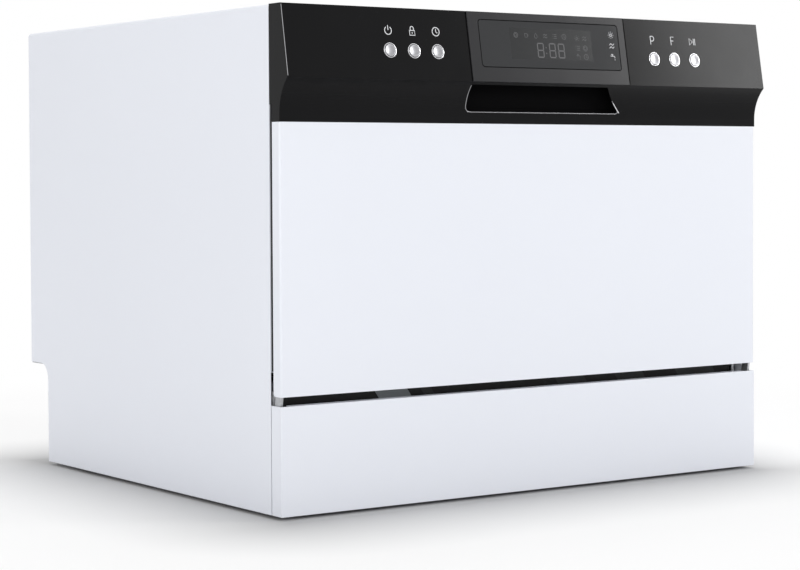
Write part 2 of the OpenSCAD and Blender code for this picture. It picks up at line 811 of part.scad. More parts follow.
module inlet_valve() {
    color([0.85, 0.85, 0.82]) difference() {
        union() {
            rod_y(tray_rear, y_rear - 12, inlet_x, inlet_z, inlet_r);
            rod_y(tray_rear, tray_rear + 3, inlet_x, inlet_z, inlet_r + 5);
            rod_y(tray_rear - 30, tray_rear, inlet_x, inlet_z, inlet_r - 1);
            block([inlet_x - 18, tray_rear - 44, inlet_z - 18],
                  [inlet_x + 18, tray_rear - 14, inlet_z + 18]);
            translate([inlet_x, tray_rear - 29, inlet_z + 18]) cylinder(h = 26, r = 11);
            translate([inlet_x, tray_rear - 29, tray_z + tray_t])
                cylinder(h = inlet_z - 18 - tray_z - tray_t, r = 6);
        }
        rod_y(tray_rear - 8, y_rear, inlet_x, inlet_z, 9);
    }
}

// Flat water chamber between the tub and the cabinet's left side
module water_breather() {
    box_x = -in_w + 3;
    box_y = breather_y - 90;
    box_z = breather_z - 70;
    color([0.8, 0.82, 0.84]) difference() {
        union() {
            block([box_x, box_y, box_z],
                  [-tub_half - sheet_t - 2, box_y + breather_box.x, box_z + breather_box.y]);
            rod_x(-tub_half - sheet_t - 2, -tub_half, breather_y, breather_z, 9.5);
            rod_x(-tub_half - sheet_t - 2, -tub_half - sheet_t, breather_y, breather_z,
                  breather_flange_r);
            rod_x(-tub_half, -tub_half + 4, breather_y, breather_z, breather_flange_r);
            for (y = [box_y + 30, box_y + breather_box.x - 30])
                translate([box_x + 15, y, box_z - breather_stub])
                    cylinder(h = breather_stub, r = 7);
        }
        rod_x(box_x + 6, -tub_half + 5, breather_y, breather_z, 6);
    }
}

module overflow_float() {
    color([0.75, 0.77, 0.8]) translate([float_x, float_y, tub_floor + near_gap]) {
        cylinder(h = 24, r = 14);
        translate([0, 0, -22]) cylinder(h = 22, r = 3.5);
    }
}

module float_switch() {
    low = tub_floor - sheet_t - 40;
    color([0.15, 0.15, 0.17]) translate([float_x, float_y, 0]) {
        difference() {
            translate([-14, -10, low]) cube([28, 20, tub_floor - sheet_t - low]);
            translate([0, 0, low + 16]) cylinder(h = 60, r = 5);
        }
    }
}

module spray_arm() {
    tip_r = 11;
    root = 19;
    color([0.62, 0.64, 0.67]) difference() {
        union() {
            translate([0, 0, spray_z]) linear_extrude(spray_t) {
                for (s = [0, 180]) rotate([0, 0, s]) {
                    polygon([[0, -root], [spray_r - tip_r, -tip_r - 3], [spray_r - tip_r, tip_r - 3],
                             [0, root]]);
                    translate([spray_r - tip_r, -3]) circle(tip_r);
                }
                circle(root + 4);
            }
            translate([0, 0, spray_z]) cylinder(h = spray_hub + 1.5, r = 15);
        }
        translate([0, 0, spray_z - cut]) cylinder(h = spray_hub + cut + 0.3, r = spray_pin_r + roller_play);
        for (s = [0, 180], i = [1 : 5]) rotate([0, 0, s])
            translate([26 + i * 27, -2, spray_z + spray_t - 2]) cylinder(h = 4, r = 1.6);
    }
}

// Filter cup with a bar handle; it turns a little to lock
module coarse_filter() {
    top = tub_floor + 2;
    color([0.5, 0.52, 0.55]) translate([sump_x, sump_y, 0]) {
        difference() {
            union() {
                translate([0, 0, top - 58]) cylinder(h = 58, r = cup_r);
                translate([0, 0, top]) cylinder(h = 2.5, r = cup_r + 6);
            }
            translate([0, 0, top - 55]) cylinder(h = 60, r = cup_r - 2);
            for (a = [0 : 30 : 330]) rotate([0, 0, a])
                translate([cup_r - 4, -2, top - 48]) cube([8, 4, 36]);
        }
        difference() {
            translate([-cup_r, -4, top]) cube([2 * cup_r, 8, 13]);
            translate([-cup_r + 8, -6, top - cut]) cube([2 * cup_r - 16, 12, 9]);
        }
    }
}

// ---------- door ----------

// Top view of the door's folded sheet: a front with two side returns, inset by t
module door_section(t, back) {
    fold_r = 2.5;
    difference() {
        translate([0, -(y_face + t)]) mirror([0, 1])
            translate([-half_w + t, 0]) square([2 * (half_w - t), back - y_face - t]);
        for (s = [-1, 1]) translate([s * (half_w - t), -(y_face + t)]) difference() {
            square(2 * (fold_r - t), center = true);
            translate([-s * (fold_r - t), -(fold_r - t)]) circle(fold_r - t);
        }
    }
}

// A folded sheet front from z0 to z1, closed by flanges above and below
module sheet_front(z0, z1, back) {
    difference() {
        mirror([0, 1, 0]) translate([0, 0, z0]) linear_extrude(z1 - z0)
            door_section(0, back);
        mirror([0, 1, 0]) translate([0, 0, z0 + sheet_t])
            linear_extrude(z1 - z0 - 2 * sheet_t) door_section(sheet_t, back + 2 * cut);
    }
}

module door_panel() {
    color("whitesmoke") difference() {
        sheet_front(z_door, z_con, y_seam);
        // openings in the lower flange, where the hinge ears and arms pass
        both_sides() block([ear_x - 2.5, hinge_y - ear_r - 0.8, z_door - cut],
                           [in_w, y_seam + cut, z_door + 2 * sheet_t]);
        // rounded lower rear corners
        along_x(-half_w - cut, half_w + cut) difference() {
            translate([y_seam - door_corner_r, z_door - cut])
                square([door_corner_r + cut, door_corner_r + cut]);
            translate([y_seam - door_corner_r, z_door + door_corner_r]) circle(door_corner_r);
        }
    }
}

module door_liner() {
    dish_w = tub_half - 13;
    dish_low = tub_sill + 4;
    dish_top = tub_top - 10;
    color("silver") difference() {
        union() {
            along_y(liner_y - sheet_t, liner_y) difference() {
                translate([-liner_w, liner_low]) square([2 * liner_w, liner_top - liner_low]);
                for (s = [-1, 1]) translate([s * liner_w, liner_low])
                    square([2 * (liner_w - corner_clear_x), 2 * (hinge_z + 9 - liner_low)],
                           center = true);
            }
            along_y(liner_y, liner_back)
                round_rect([-dish_w, dish_low], [dish_w, dish_top], 16);
        }
        along_y(liner_y - sheet_t - cut, liner_back - sheet_t)
            round_rect([-dish_w + sheet_t, dish_low + sheet_t],
                       [dish_w - sheet_t, dish_top - sheet_t], 15);
        block([disp_left + 3, liner_y - 20, disp_low + 3],
              [disp_right - 3, liner_back + cut, disp_top - 3]);
        // opening for the latch strike
        block([-strike_w / 2 - 3, liner_y - 3, strike_z - 5], [strike_w / 2 + 3, liner_y + cut, cabinet_h]);
    }
}

// Depth of the console face at a height, inset by t
function face_y(z, t = 0) = y_lip + (z - z_lip) * tan(tilt) + t / cos(tilt);

// Side view of the console, inset by t: leaning face over a hollow underside
module console_outline(t, back) {
    knee_z = z_con + 7;
    rise = z_lip - knee_z;
    sweep_r = (lip_out * lip_out + rise * rise) / (2 * lip_out);
    step_z = z_con + 15;
    difference() {
        polygon([[face_y(cabinet_h - t, t), cabinet_h - t], [face_y(z_lip, t), z_lip],
                 [y_face + t, knee_z], [y_face + t, z_con + t], [y_seam + back, z_con + t],
                 [y_seam + back, step_z], [y_cab - sheet_t + back, step_z],
                 [y_cab - sheet_t + back, cabinet_h - t]]);
        translate([y_face - sweep_r, knee_z]) circle(sweep_r + t, $fn = 96);
    }
}

// Front view of the finger pocket
module pocket_outline(grow = 0) {
    round_rect([block_left - grow, z_lip - pocket_h - grow],
               [block_right + grow, z_lip - console_t], 0.5, pocket_r);
}

module console_shell() {
    boss_x = [-half_w + 40, -100, 120, half_w - 40];
    color([0.07, 0.07, 0.08]) difference() {
        union() {
            along_x(-half_w, half_w) difference() {
                console_outline(0, 0);
                console_outline(console_t, 2 * cut);
            }
            both_sides() along_x(half_w - console_t, half_w) console_outline(0, 0);
            on_face() for (x = boss_x, z = [board_low + 5, board_top - 5])
                translate([x, console_t, z]) rotate([-90, 0, 0])
                    cylinder(h = board_in - console_t, r = 3);
            for (x = [-half_w + 40 : 90 : half_w - 40]) if (x < block_left - 20 || x > block_right + 20)
                along_x(x - 1, x + 1) intersection() {
                    console_outline(console_t / 2, -7);
                    translate([y_lip, z_con]) square([30, 24]);
                }
        }
        on_face() {
            for (x = button_xs) translate([x, -cut, face_len - button_drop]) rotate([-90, 0, 0])
                cylinder(h = console_t + 2 * cut, r = button_r + button_play);
            block([window_left + 5, -cut, window_low + 3],
                  [window_right - 5, console_t + cut, window_top - 3]);
        }
        along_y(y_lip - 5, y_face + console_t + 2) pocket_outline();
        both_sides() block([in_w - 14, y_seam - 3, liner_low], [in_w - 8, y_cab, z_con + 30]);
    }
}

// Cup behind the lip that the fingers go into
module handle_cup() {
    wall = 2;
    inner = [[face_y(z_lip) - 2, z_lip - pocket_h], [pocket_back - 3, z_lip - pocket_h],
             [pocket_back, z_lip - pocket_h + 5], [pocket_back, pocket_top - 4],
             [pocket_back - 4, pocket_top], [face_y(pocket_top, console_t + 2), pocket_top],
             [face_y(z_lip, console_t + 2), z_lip - console_t],
             [face_y(z_lip) - 2, z_lip - console_t]];
    color([0.06, 0.06, 0.07]) difference() {
        intersection() {
            block([block_left - wall, y_lip, z_lip - pocket_h - wall],
                  [block_right + wall, pocket_back + wall, pocket_top + wall]);
            along_x(-half_w, half_w) console_outline(console_t, 0);
        }
        along_x(block_left, block_right) polygon(inner);
    }
}

module display_bezel() {
    color([0.16, 0.16, 0.17]) on_face() difference() {
        intersection() {
            block([block_left, -block_out, 0], [block_right, 0, face_len]);
            rotate([tilt, 0, 0]) block([block_left, -face_len, -face_len],
                                       [block_right, face_len, lip_drop]);
        }
        translate([0, -block_out + 0.9, 0]) along_y(-1 - block_out, 0)
            round_rect([window_left, window_low], [window_right, window_top], 3);
        block([window_left + 5, -block_out, window_low + 3],
              [window_right - 5, cut, window_top - 3]);
    }
}

module display_window() {
    color([0.3, 0.31, 0.32]) on_face() along_y(-block_out, -block_out + 0.9)
        round_rect([window_left, window_low], [window_right, window_top], 3);
}

module button_rings() {
    color("silver") on_face() for (x = button_xs)
        translate([x, -0.6, face_len - button_drop]) rotate([-90, 0, 0]) difference() {
            cylinder(h = 0.6, r = button_r + 1.1);
            translate([0, 0, -cut]) cylinder(h = 1 + 2 * cut, r = button_r + button_play);
        }
}

// Circuit board behind the face, with the display module and a switch for each button
module control_board() {
    switch_h = board_in - button_deep - button_travel - 0.2;
    color("darkgreen") on_face() {
        difference() {
            block([-half_w + 33, board_in, board_low], [half_w - 33, board_in + 1.6, board_top]);
            block([-24, board_in - cut, board_top - 14], [24, board_in + 3, board_top + 1]);
        }
        for (x = button_xs)
            block([x - 3, board_in - switch_h, face_len - button_drop - 3],
                  [x + 3, board_in, face_len - button_drop + 3]);
        block([window_left + 7, 0.4, window_low + 5], [window_right - 7, board_in, board_top - 14]);
    }
}

module push_button(x) {
    color("silver") on_face() translate([x, 0, face_len - button_drop]) rotate([-90, 0, 0]) {
        translate([0, 0, -1]) cylinder(h = console_t + 1 + near_gap, r = button_r);
        translate([0, 0, console_t + near_gap])
            cylinder(h = button_flange, r = button_r + 1.2);
    }
}

module power_button() { push_button(button_xs[0]); }
module lock_button() { push_button(button_xs[1]); }
module delay_button() { push_button(button_xs[2]); }
module program_button() { push_button(button_xs[3]); }
module function_button() { push_button(button_xs[4]); }
module start_button() { push_button(button_xs[5]); }

// Housing behind the liner; the strike enters it from the back
module latch_housing() {
    color([0.15, 0.15, 0.16]) difference() {
        block([-20, latch_front, strike_z - 16], [20, liner_y - sheet_t, liner_top - 1]);
        block([-strike_w / 2 - 2, flange_y - strike_len - 1.4, strike_z - 4],
              [strike_w / 2 + 2, liner_y, liner_top]);
        block([-5 - near_gap, latch_y0 - near_gap, strike_z - 12],
              [5 + near_gap, liner_y, strike_z]);
    }
}

// Spring-loaded bolt whose nose holds the strike's hook
module latch_plunger() {
    color("silver") {
        block([-5, latch_y0, strike_z - 6.7], [5, liner_y - sheet_t - near_gap, strike_z - 0.5]);
    }
}

module hinge_arms() {
    color("silver") both_sides() {
        difference() {
            along_x(arm_x, arm_x + arm_t) {
                translate([hinge_y, hinge_z]) circle(ear_r);
                translate([hinge_y - 4, hinge_z]) square([8, arm_len]);
                polygon([[hinge_y - ear_r, hinge_z], [hinge_y + ear_r, hinge_z],
                         [hinge_y + 10, hinge_z - tail_len], [hinge_y + 2, hinge_z - tail_len]]);
                translate([hinge_y + 6, hinge_z - tail_len]) circle(4);
            }
            rod_x(arm_x - cut, in_w, hinge_y, hinge_z, hinge_pin_r + pin_play);
            rod_x(arm_x - cut, in_w, hinge_y + 6, hinge_z - tail_len, 1.6);
        }
        for (z = [hinge_z + 50, hinge_z + arm_len - 12])
            rod_x(arm_x + arm_t, in_w, hinge_y, z, 3.5);
    }
}

module door_seal_strip() {
    color([0.2, 0.2, 0.21]) along_x(-tub_half + 4, tub_half - 4)
        polygon([[liner_y, hinge_z + 10], [liner_y + 2, hinge_z + 8], [flange_y - near_gap, hinge_z + 11],
                 [flange_y - near_gap, hinge_z + 14], [liner_y, hinge_z + 18]]);
}

// ---------- dispenser ----------

module dispenser_body() {
    front = liner_back + 1.5;
    color([0.82, 0.83, 0.84]) difference() {
        union() {
            block([disp_left, liner_back, disp_low], [disp_right, front, disp_top]);
            block([disp_left + 4, disp_deep, disp_low + 4],
                  [disp_right - 4, liner_back, disp_top - 4]);
            for (z = [lid_low - near_gap - 2.5, lid_top + near_gap]) {
                block([disp_left + 2, front, z], [cup_right + 6, lid_front + near_gap, z + 2.5]);
                block([disp_left + 2, lid_front + near_gap, z - (z > lid_low ? 1.5 : 0)],
                      [cup_right + 6, lid_front + near_gap + 1, z + (z > lid_low ? 2.5 : 4)]);
            }
        }
        block([cup_left, disp_deep + 2.5, lid_low + 4], [cup_right, front + cut, lid_top - 4]);
        rod_y(disp_deep + 3, front + cut, cap_x, (disp_low + disp_top) / 2, cap_r - 2.7);
    }
}

module dispenser_lid() {
    color([0.9, 0.9, 0.91]) {
        block([cup_left - 3, liner_back + 1.5 + near_gap, lid_low],
              [cup_right + 3, lid_front, lid_top]);
        block([cup_left + 4, lid_front, lid_low + 12],
              [cup_left + 7, lid_front + 2.5, lid_top - 12]);
    }
}

module rinse_cap() {
    z = (disp_low + disp_top) / 2;
    color([0.25, 0.4, 0.62]) {
        rod_y(disp_deep + 5, liner_back + 1.8, cap_x, z, cap_r - 3);
        rod_y(liner_back + 1.8, liner_back + 4, cap_x, z, cap_r);
        block([cap_x - 2.5, liner_back + 4, z - cap_r + 3],
              [cap_x + 2.5, liner_back + 7, z + cap_r - 3]);
    }
}

// ---------- rack ----------

// Wires of one flat grille, between a foot line and a head line, both along X
module rack_end(y_low, y_top) {
    for (i = [0 : floor_n])
        wire([-rack_half + i * floor_step, y_low, rack_floor_z],
             [-rack_half + i * floor_step, y_top, rack_top]);
    for (k = [0, 0.5, 1])
        wire([-rack_half, y_low + (y_top - y_low) * k - lay, rack_floor_z + rack_h * k],
             [rack_half, y_low + (y_top - y_low) * k - lay, rack_floor_z + rack_h * k]);
}

module rack_floor() {
    color("white") {
        for (i = [0 : floor_n])
            wire([-rack_half + i * floor_step, rack_front_low, rack_floor_z],
                 [-rack_half + i * floor_step, rack_rear, rack_floor_z]);
        for (k = [0 : cross_n])
            wire([-rack_half, rack_front_low + 4 + k * cross_step, rack_floor_z - lay],
                 [rack_half, rack_front_low + 4 + k * cross_step, rack_floor_z - lay]);
    }
}

module rack_ends() {
    color("white") {
        rack_end(rack_front_low, rack_front_top);
        rack_end(rack_rear, rack_rear);
    }
}

module rack_sides() {
    function front_at(k) = rack_front_low + (rack_front_top - rack_front_low) * k;
    color("white") both_sides() {
        for (k = [0 : cross_n])
            wire([rack_half, rack_front_low + 4 + k * cross_step, rack_floor_z],
                 [rack_half, rack_front_low + 4 + k * cross_step, rack_top]);
        for (k = [0, 0.5, 1])
            wire([rack_half + lay, front_at(k), rack_floor_z + rack_h * k],
                 [rack_half + lay, rack_rear, rack_floor_z + rack_h * k]);
    }
}

// Steel rails on the rack's sides; each ends in the axle of a rear roller
module rack_rails() {
    rail_front = front_roller_y - 10;
    flange_end = rear_roller_y - rear_roller_r - 4;
    color("silver") both_sides() {
        block([rail_x, rail_front, rail_flange_z - 13],
              [rail_x + rail_t, rear_roller_y + 12, rail_flange_z + rail_t]);
        block([rail_x, rail_front, rail_flange_z], [rail_out, flange_end, rail_flange_z + rail_t]);
        for (y = [rack_front_low + 30, 0, rack_rear - 40])
            block([rack_half + wire_r, y, rack_floor_z + rack_h / 2 - 3],
                  [rail_x, y + 16, rack_floor_z + rack_h / 2 + 3]);
        rod_x(rail_x + rail_t, roller_in + roller_w + 0.3, rear_roller_y, rear_roller_z, axle_r);
        rod_x(roller_in + roller_w + 0.3, roller_in + roller_w + 1.5, rear_roller_y, rear_roller_z,
              axle_r + 1.5);
    }
}

module plate_tines() {
    color("white") for (row = [2, 4], k = [1 : tine_n])
        wire([-rack_half + row * floor_step, rack_front_low + k * wire_pitch, rack_floor_z + wire_r - 0.4],
             [-rack_half + row * floor_step, rack_front_low + k * wire_pitch + 6, rack_floor_z + tine_h]);
}

module roller_pair(r, y, z) {
    color([0.85, 0.86, 0.87]) both_sides() difference() {
        rod_x(roller_in, roller_in + roller_w, y, z, r);
        rod_x(roller_in - cut, roller_in + roller_w + cut, y, z, axle_r + roller_play);
        difference() {
            rod_x(roller_in - cut, roller_in + 2, y, z, r - 2);
            rod_x(roller_in - cut, roller_in + 2, y, z, axle_r + 2);
        }
    }
}

module front_rollers() { roller_pair(front_roller_r, front_roller_y, front_roller_z); }
module rear_rollers() { roller_pair(rear_roller_r, rear_roller_y, rear_roller_z); }

module cutlery_basket() {
    z0 = rack_floor_z + wire_r + near_gap;
    cell = [(basket.x - 3 * basket_wall) / 2, (basket.y - 3 * basket_wall) / 2];
    slot_w = 10;
    slot_h = basket.z - 44;
    color([0.72, 0.74, 0.77]) translate([basket_x, basket_y, z0]) {
        difference() {
            cube(basket);
            for (i = [0, 1], j = [0, 1])
                translate([basket_wall + i * (cell.x + basket_wall),
                           basket_wall + j * (cell.y + basket_wall), basket_wall])
                    cube([cell.x, cell.y, basket.z]);
            // slots in the outer walls
            for (x = [0.25, 0.75], y = [-cut, basket.y - basket_wall - cut])
                translate([x * basket.x - slot_w / 2, y, 20])
                    cube([slot_w, basket_wall + 2 * cut, slot_h]);
            for (y = [0.25, 0.75], x = [-cut, basket.x - basket_wall - cut])
                translate([x, y * basket.y - slot_w / 2, 20])
                    cube([basket_wall + 2 * cut, slot_w, slot_h]);
        }
        for (y = [0, basket.y - basket_wall])
            translate([(basket.x - basket_grip.x) / 2, y, basket.z])
                cube([basket_grip.x, basket_wall, basket_grip.y]);
        translate([(basket.x - basket_grip.x) / 2, 0, basket.z + basket_grip.y])
            cube([basket_grip.x, basket.y, basket_grip.z]);
    }
}

// Folding shelf for cups, hung on the rack's left side
module cup_shelf() {
    shelf_x = -rack_half + 2 * wire_r + near_gap + 0.2;
    color("white") {
        rod_y(shelf_front, shelf_rear, shelf_x, shelf_z, wire_r);
        for (y = [shelf_front + 4 : 27 : shelf_rear])
            wire([shelf_x, y, shelf_z], [shelf_x + shelf_reach, y, shelf_z]);
        for (x = [shelf_x + shelf_reach / 2, shelf_x + shelf_reach])
            wire([x, shelf_front, shelf_z - lay], [x, shelf_rear, shelf_z - lay]);
    }
}

outer_wrapper();
rear_panel();
plinth_panel();
base_tray();
rubber_feet();
front_crossmember();
tub_wrap();
tub_back();
tub_floor_pan();
tub_gasket();
rack_runners();
sump();
flat_filter();
spray_support();
wash_pump();
drain_pump();
heater();
inlet_valve();
water_breather();
control_box();
float_switch();
hinge_brackets();
hinge_pins();
door_springs();
latch_strike();
cord_grommet();
door_panel();
door_liner();
console_shell();
display_bezel();
display_window();
button_rings();
control_board();
handle_cup();
dispenser_body();
hinge_arms();
door_seal_strip();
latch_housing();
latch_plunger();
dispenser_lid();
rinse_cap();
power_button();
lock_button();
delay_button();
program_button();
function_button();
start_button();
rack_floor();
rack_ends();
rack_sides();
rack_rails();
plate_tines();
cutlery_basket();
cup_shelf();
front_rollers();
rear_rollers();
spray_arm();
coarse_filter();
overflow_float();
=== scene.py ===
"""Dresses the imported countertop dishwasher: finishes, rounded edges, signs, wires, floor, light, camera."""
import json
import math

import bmesh
import bpy
import numpy as np
from bpy.props import BoolProperty, FloatProperty, FloatVectorProperty, IntProperty, PointerProperty
from mathutils import Matrix, Vector


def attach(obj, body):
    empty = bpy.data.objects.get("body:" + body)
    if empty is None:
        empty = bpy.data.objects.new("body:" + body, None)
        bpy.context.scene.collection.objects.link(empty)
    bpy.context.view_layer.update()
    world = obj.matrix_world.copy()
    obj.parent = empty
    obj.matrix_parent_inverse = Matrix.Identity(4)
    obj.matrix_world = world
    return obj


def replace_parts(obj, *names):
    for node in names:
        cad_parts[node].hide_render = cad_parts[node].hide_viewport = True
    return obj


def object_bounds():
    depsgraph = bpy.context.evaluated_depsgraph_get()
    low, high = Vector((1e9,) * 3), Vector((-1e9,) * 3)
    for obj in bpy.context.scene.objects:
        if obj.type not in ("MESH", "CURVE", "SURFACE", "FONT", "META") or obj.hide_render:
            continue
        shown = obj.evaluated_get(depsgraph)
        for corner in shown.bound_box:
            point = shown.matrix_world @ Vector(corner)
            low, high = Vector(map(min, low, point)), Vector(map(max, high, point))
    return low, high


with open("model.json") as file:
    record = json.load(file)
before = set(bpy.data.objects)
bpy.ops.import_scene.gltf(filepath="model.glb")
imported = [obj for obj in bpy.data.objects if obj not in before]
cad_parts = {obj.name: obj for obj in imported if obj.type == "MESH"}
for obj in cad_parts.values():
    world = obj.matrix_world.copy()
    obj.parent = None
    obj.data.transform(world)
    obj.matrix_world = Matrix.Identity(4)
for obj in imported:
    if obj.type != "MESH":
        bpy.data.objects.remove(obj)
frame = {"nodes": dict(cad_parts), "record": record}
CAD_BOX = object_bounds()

bl_info = {
    "name": "Countertop dishwasher",
    "version": (1, 0, 0),
    "blender": (4, 5, 0),
    "location": "3D View > Sidebar > Dishwasher",
    "description": "Finishes, rounded edges, signs, wires and a studio for the countertop dishwasher",
    "category": "Object",
}

MM = 0.001
NODE_BODY = {node: body for body, nodes in frame["record"]["behaviour"]["bodies"].items() for node in nodes}
NODE_SLOT = {part["node"]: part["material_slot"] for part in frame["record"]["subparts"]}


# ---------- the sizes and colours a user may change ----------

def length(name, description, default):
    """A length in metres, shown in the scene's units."""
    return FloatProperty(name=name, description=description, default=default, min=0.0, unit="LENGTH",
                         precision=5)


def colour(name, description, default):
    """A linear RGB colour."""
    return FloatVectorProperty(name=name, description=description, default=default, size=3,
                               min=0.0, max=1.0, subtype="COLOR")


class DishwasherSizes(bpy.types.PropertyGroup):
    """Edge radii and small sizes that the solids leave out."""
    panel_edge: length("Panel edge", "Radius of a folded panel's edges", 0.7 * MM)
    moulded_edge: length("Moulded edge", "Radius of a plastic moulding's edges", 1.1 * MM)
    small_edge: length("Small edge", "Radius on small pieces", 0.3 * MM)
    wire_radius: length("Wire radius", "Radius of the rack's wires", 1.6 * MM)
    icon_size: length("Icon size", "Height of a printed icon on the console", 8.4 * MM)
    icon_stroke: length("Icon stroke", "Width of an icon's line", 0.75 * MM)
    icon_rise: length("Icon rise", "Distance of the icons' middle over the buttons' middle", 18.0 * MM)
    ink_height: length("Ink height", "Thickness of a printed line", 0.06 * MM)
    edge_steps: IntProperty(name="Edge steps", description="Segments in a rounded edge", default=3,
                            min=1, max=6)


class DishwasherColours(bpy.types.PropertyGroup):
    """Colours of the finishes."""
    paint: colour("Paint", "White baked paint of the cabinet and door", (0.79, 0.812, 0.872))
    gloss_black: colour("Gloss black", "Console moulding", (0.0035, 0.0035, 0.004))
    block_black: colour("Block", "Raised display block", (0.022, 0.022, 0.024))
    window: colour("Window", "Smoked display window", (0.03, 0.031, 0.033))
    ghost_ink: colour("Unlit segments", "Unlit segments behind the window", (0.10, 0.10, 0.105))
    sign_ink: colour("Signs", "Printed icons", (0.75, 0.76, 0.78))
    steel: colour("Steel", "Stainless tub and liner", (0.56, 0.57, 0.58))
    zinc: colour("Zinc", "Galvanised sheet", (0.50, 0.51, 0.53))
    rack_white: colour("Rack", "Coating of the rack's wires", (0.72, 0.74, 0.76))


class StudioSettings(bpy.types.PropertyGroup):
    """Camera, floor and light."""
    camera_at: FloatVectorProperty(name="Camera", description="Place of the camera", size=3, unit="LENGTH",
                                   default=(-1.2387, -1.7916, 0.2975))
    yaw: FloatProperty(name="Yaw", description="Turn of the view from +Y towards +X", unit="ROTATION",
                       default=math.radians(34.94))
    pitch: FloatProperty(name="Pitch", description="Tilt of the view, up positive", unit="ROTATION",
                         default=math.radians(-1.865))
    roll: FloatProperty(name="Roll", description="Roll of the view", unit="ROTATION",
                        default=math.radians(-0.266))
    lens: FloatProperty(name="Lens", description="Focal length for a 36 mm wide sensor", default=97.65)
    shift_y: FloatProperty(name="Shift", description="Vertical shift of the lens", default=-0.0563)
    floor_size: length("Floor", "Side of the floor", 40.0)
    backdrop: FloatProperty(name="Backdrop", description="Brightness of the backdrop", default=1.0)
    fill: FloatProperty(name="Fill", description="Brightness of the even light from all round", default=0.6)


def sizes():
    return bpy.context.scene.dishwasher_sizes


def colours():
    return bpy.context.scene.dishwasher_colours


def studio():
    return bpy.context.scene.dishwasher_studio


# ---------- finishes ----------

def new_finish(name, base, roughness, metallic=0.0, specular=0.5, coat=0.0, coat_rough=0.1):
    """A material with one Principled shader; what is the same all over sits on the shader's own sockets."""
    material = bpy.data.materials.new(name)
    material.use_nodes = True
    shader = material.node_tree.nodes["Principled BSDF"]
    shader.inputs["Base Color"].default_value = (*base, 1)
    shader.inputs["Roughness"].default_value = roughness
    shader.inputs["Metallic"].default_value = metallic
    shader.inputs["Specular IOR Level"].default_value = specular
    shader.inputs["Coat Weight"].default_value = coat
    shader.inputs["Coat Roughness"].default_value = coat_rough
    material.diffuse_color = (*base, 1)
    return material, shader, material.node_tree


def added(tree, kind, inputs, **settings):
    """A new shader node with its settings; each input, by name or number, is linked to a socket or set."""
    node = tree.nodes.new("ShaderNode" + kind)
    for name, value in settings.items():
        setattr(node, name, value)
    for key, value in inputs.items():
        if isinstance(value, bpy.types.NodeSocket):
            tree.links.new(value, node.inputs[key])
        else:
            node.inputs[key].default_value = value
    return node


def object_coords(tree, stretch=(1, 1, 1)):
    """Object coordinates, stretched along each axis."""
    place = added(tree, "TexCoord", {}).outputs["Object"]
    return added(tree, "Mapping", {"Scale": stretch, "Vector": place}).outputs["Vector"]


def noise(tree, scale, detail=4, stretch=(1, 1, 1), rough=0.5):
    """A noise value between 0 and 1 on Object coordinates."""
    return added(tree, "TexNoise", {"Scale": scale, "Detail": detail, "Roughness": rough,
                                    "Vector": object_coords(tree, stretch)}).outputs["Fac"]


def spread(tree, value, low, high):
    """Maps a 0 to 1 value on to low to high."""
    return added(tree, "MapRange", {"To Min": low, "To Max": high, "Value": value}).outputs["Result"]


def shades(tree, value, dark, light):
    """Blends two colours by a value."""
    return added(tree, "Mix", {0: value, 6: (*dark, 1), 7: (*light, 1)}, data_type="RGBA").outputs[2]


def math_node(tree, kind, *values):
    """One Math node on sockets or numbers."""
    return added(tree, "Math", dict(enumerate(values)), operation=kind).outputs[0]


def coloured(shader, value, base, darkest, lightest):
    """Colours a shader by a value, from its base times darkest to its base times lightest."""
    tree = shader.id_data
    tone = shades(tree, value, scaled(base, darkest), scaled(base, lightest))
    tree.links.new(tone, shader.inputs["Base Color"])


def roughened(shader, value, low, high):
    """Sets a shader's roughness by a value, from low to high."""
    shader.id_data.links.new(spread(shader.id_data, value, low, high), shader.inputs["Roughness"])


def bump(tree, shader, value, height, strength=1.0):
    """Raises the surface by a value times a height in metres."""
    node = added(tree, "Bump", {"Distance": height, "Strength": strength, "Height": value})
    tree.links.new(node.outputs["Normal"], shader.inputs["Normal"])


def scaled(base, factor):
    """A colour times a factor, held at 1."""
    return tuple(min(1.0, channel * factor) for channel in base)


def paint_finish():
    """White baked paint: a fine orange peel and a faint drift of tone."""
    base = tuple(colours().paint)
    material, shader, tree = new_finish("white_baked_paint", base, 0.34, specular=0.4, coat=0.15,
                                        coat_rough=0.2)
    coloured(shader, noise(tree, 2.5, 2), base, 0.985, 1.01)
    roughened(shader, noise(tree, 60, 3), 0.30, 0.40)
    bump(tree, shader, noise(tree, 900, 2), 0.00002, 0.35)
    return material


def gloss_black_finish(name, base, roughness, specular):
    """Gloss plastic: fine haze and hairline scratches in its roughness, and a slow waviness."""
    material, shader, tree = new_finish(name, base, roughness, specular=specular)
    roughened(shader, noise(tree, 35, 5), roughness * 0.85, roughness * 1.2)
    coloured(shader, noise(tree, 8, 3), base, 0.9, 1.1)
    bump(tree, shader, noise(tree, 14, 1), 0.00012, 0.25)
    return material


def brushed_finish(name, base, roughness, stretch):
    """Rolled steel: fine lines along one axis in tone, roughness and height."""
    material, shader, tree = new_finish(name, base, roughness, metallic=1.0)
    lines = noise(tree, 40, 6, stretch, 0.65)
    coloured(shader, lines, base, 0.88, 1.08)
    roughened(shader, lines, roughness * 0.8, roughness * 1.3)
    bump(tree, shader, lines, 0.00002, 0.5)
    return material


def zinc_finish():
    """Galvanised sheet: spangles as cells of differing tone."""
    base = tuple(colours().zinc)
    material, shader, tree = new_finish("galvanised_sheet", base, 0.42, metallic=0.9)
    cells = added(tree, "TexVoronoi", {"Scale": 160, "Vector": object_coords(tree)})
    grey = added(tree, "RGBToBW", {"Color": cells.outputs["Color"]}).outputs["Val"]
    coloured(shader, grey, base, 0.78, 1.12)
    roughened(shader, grey, 0.34, 0.55)
    return material


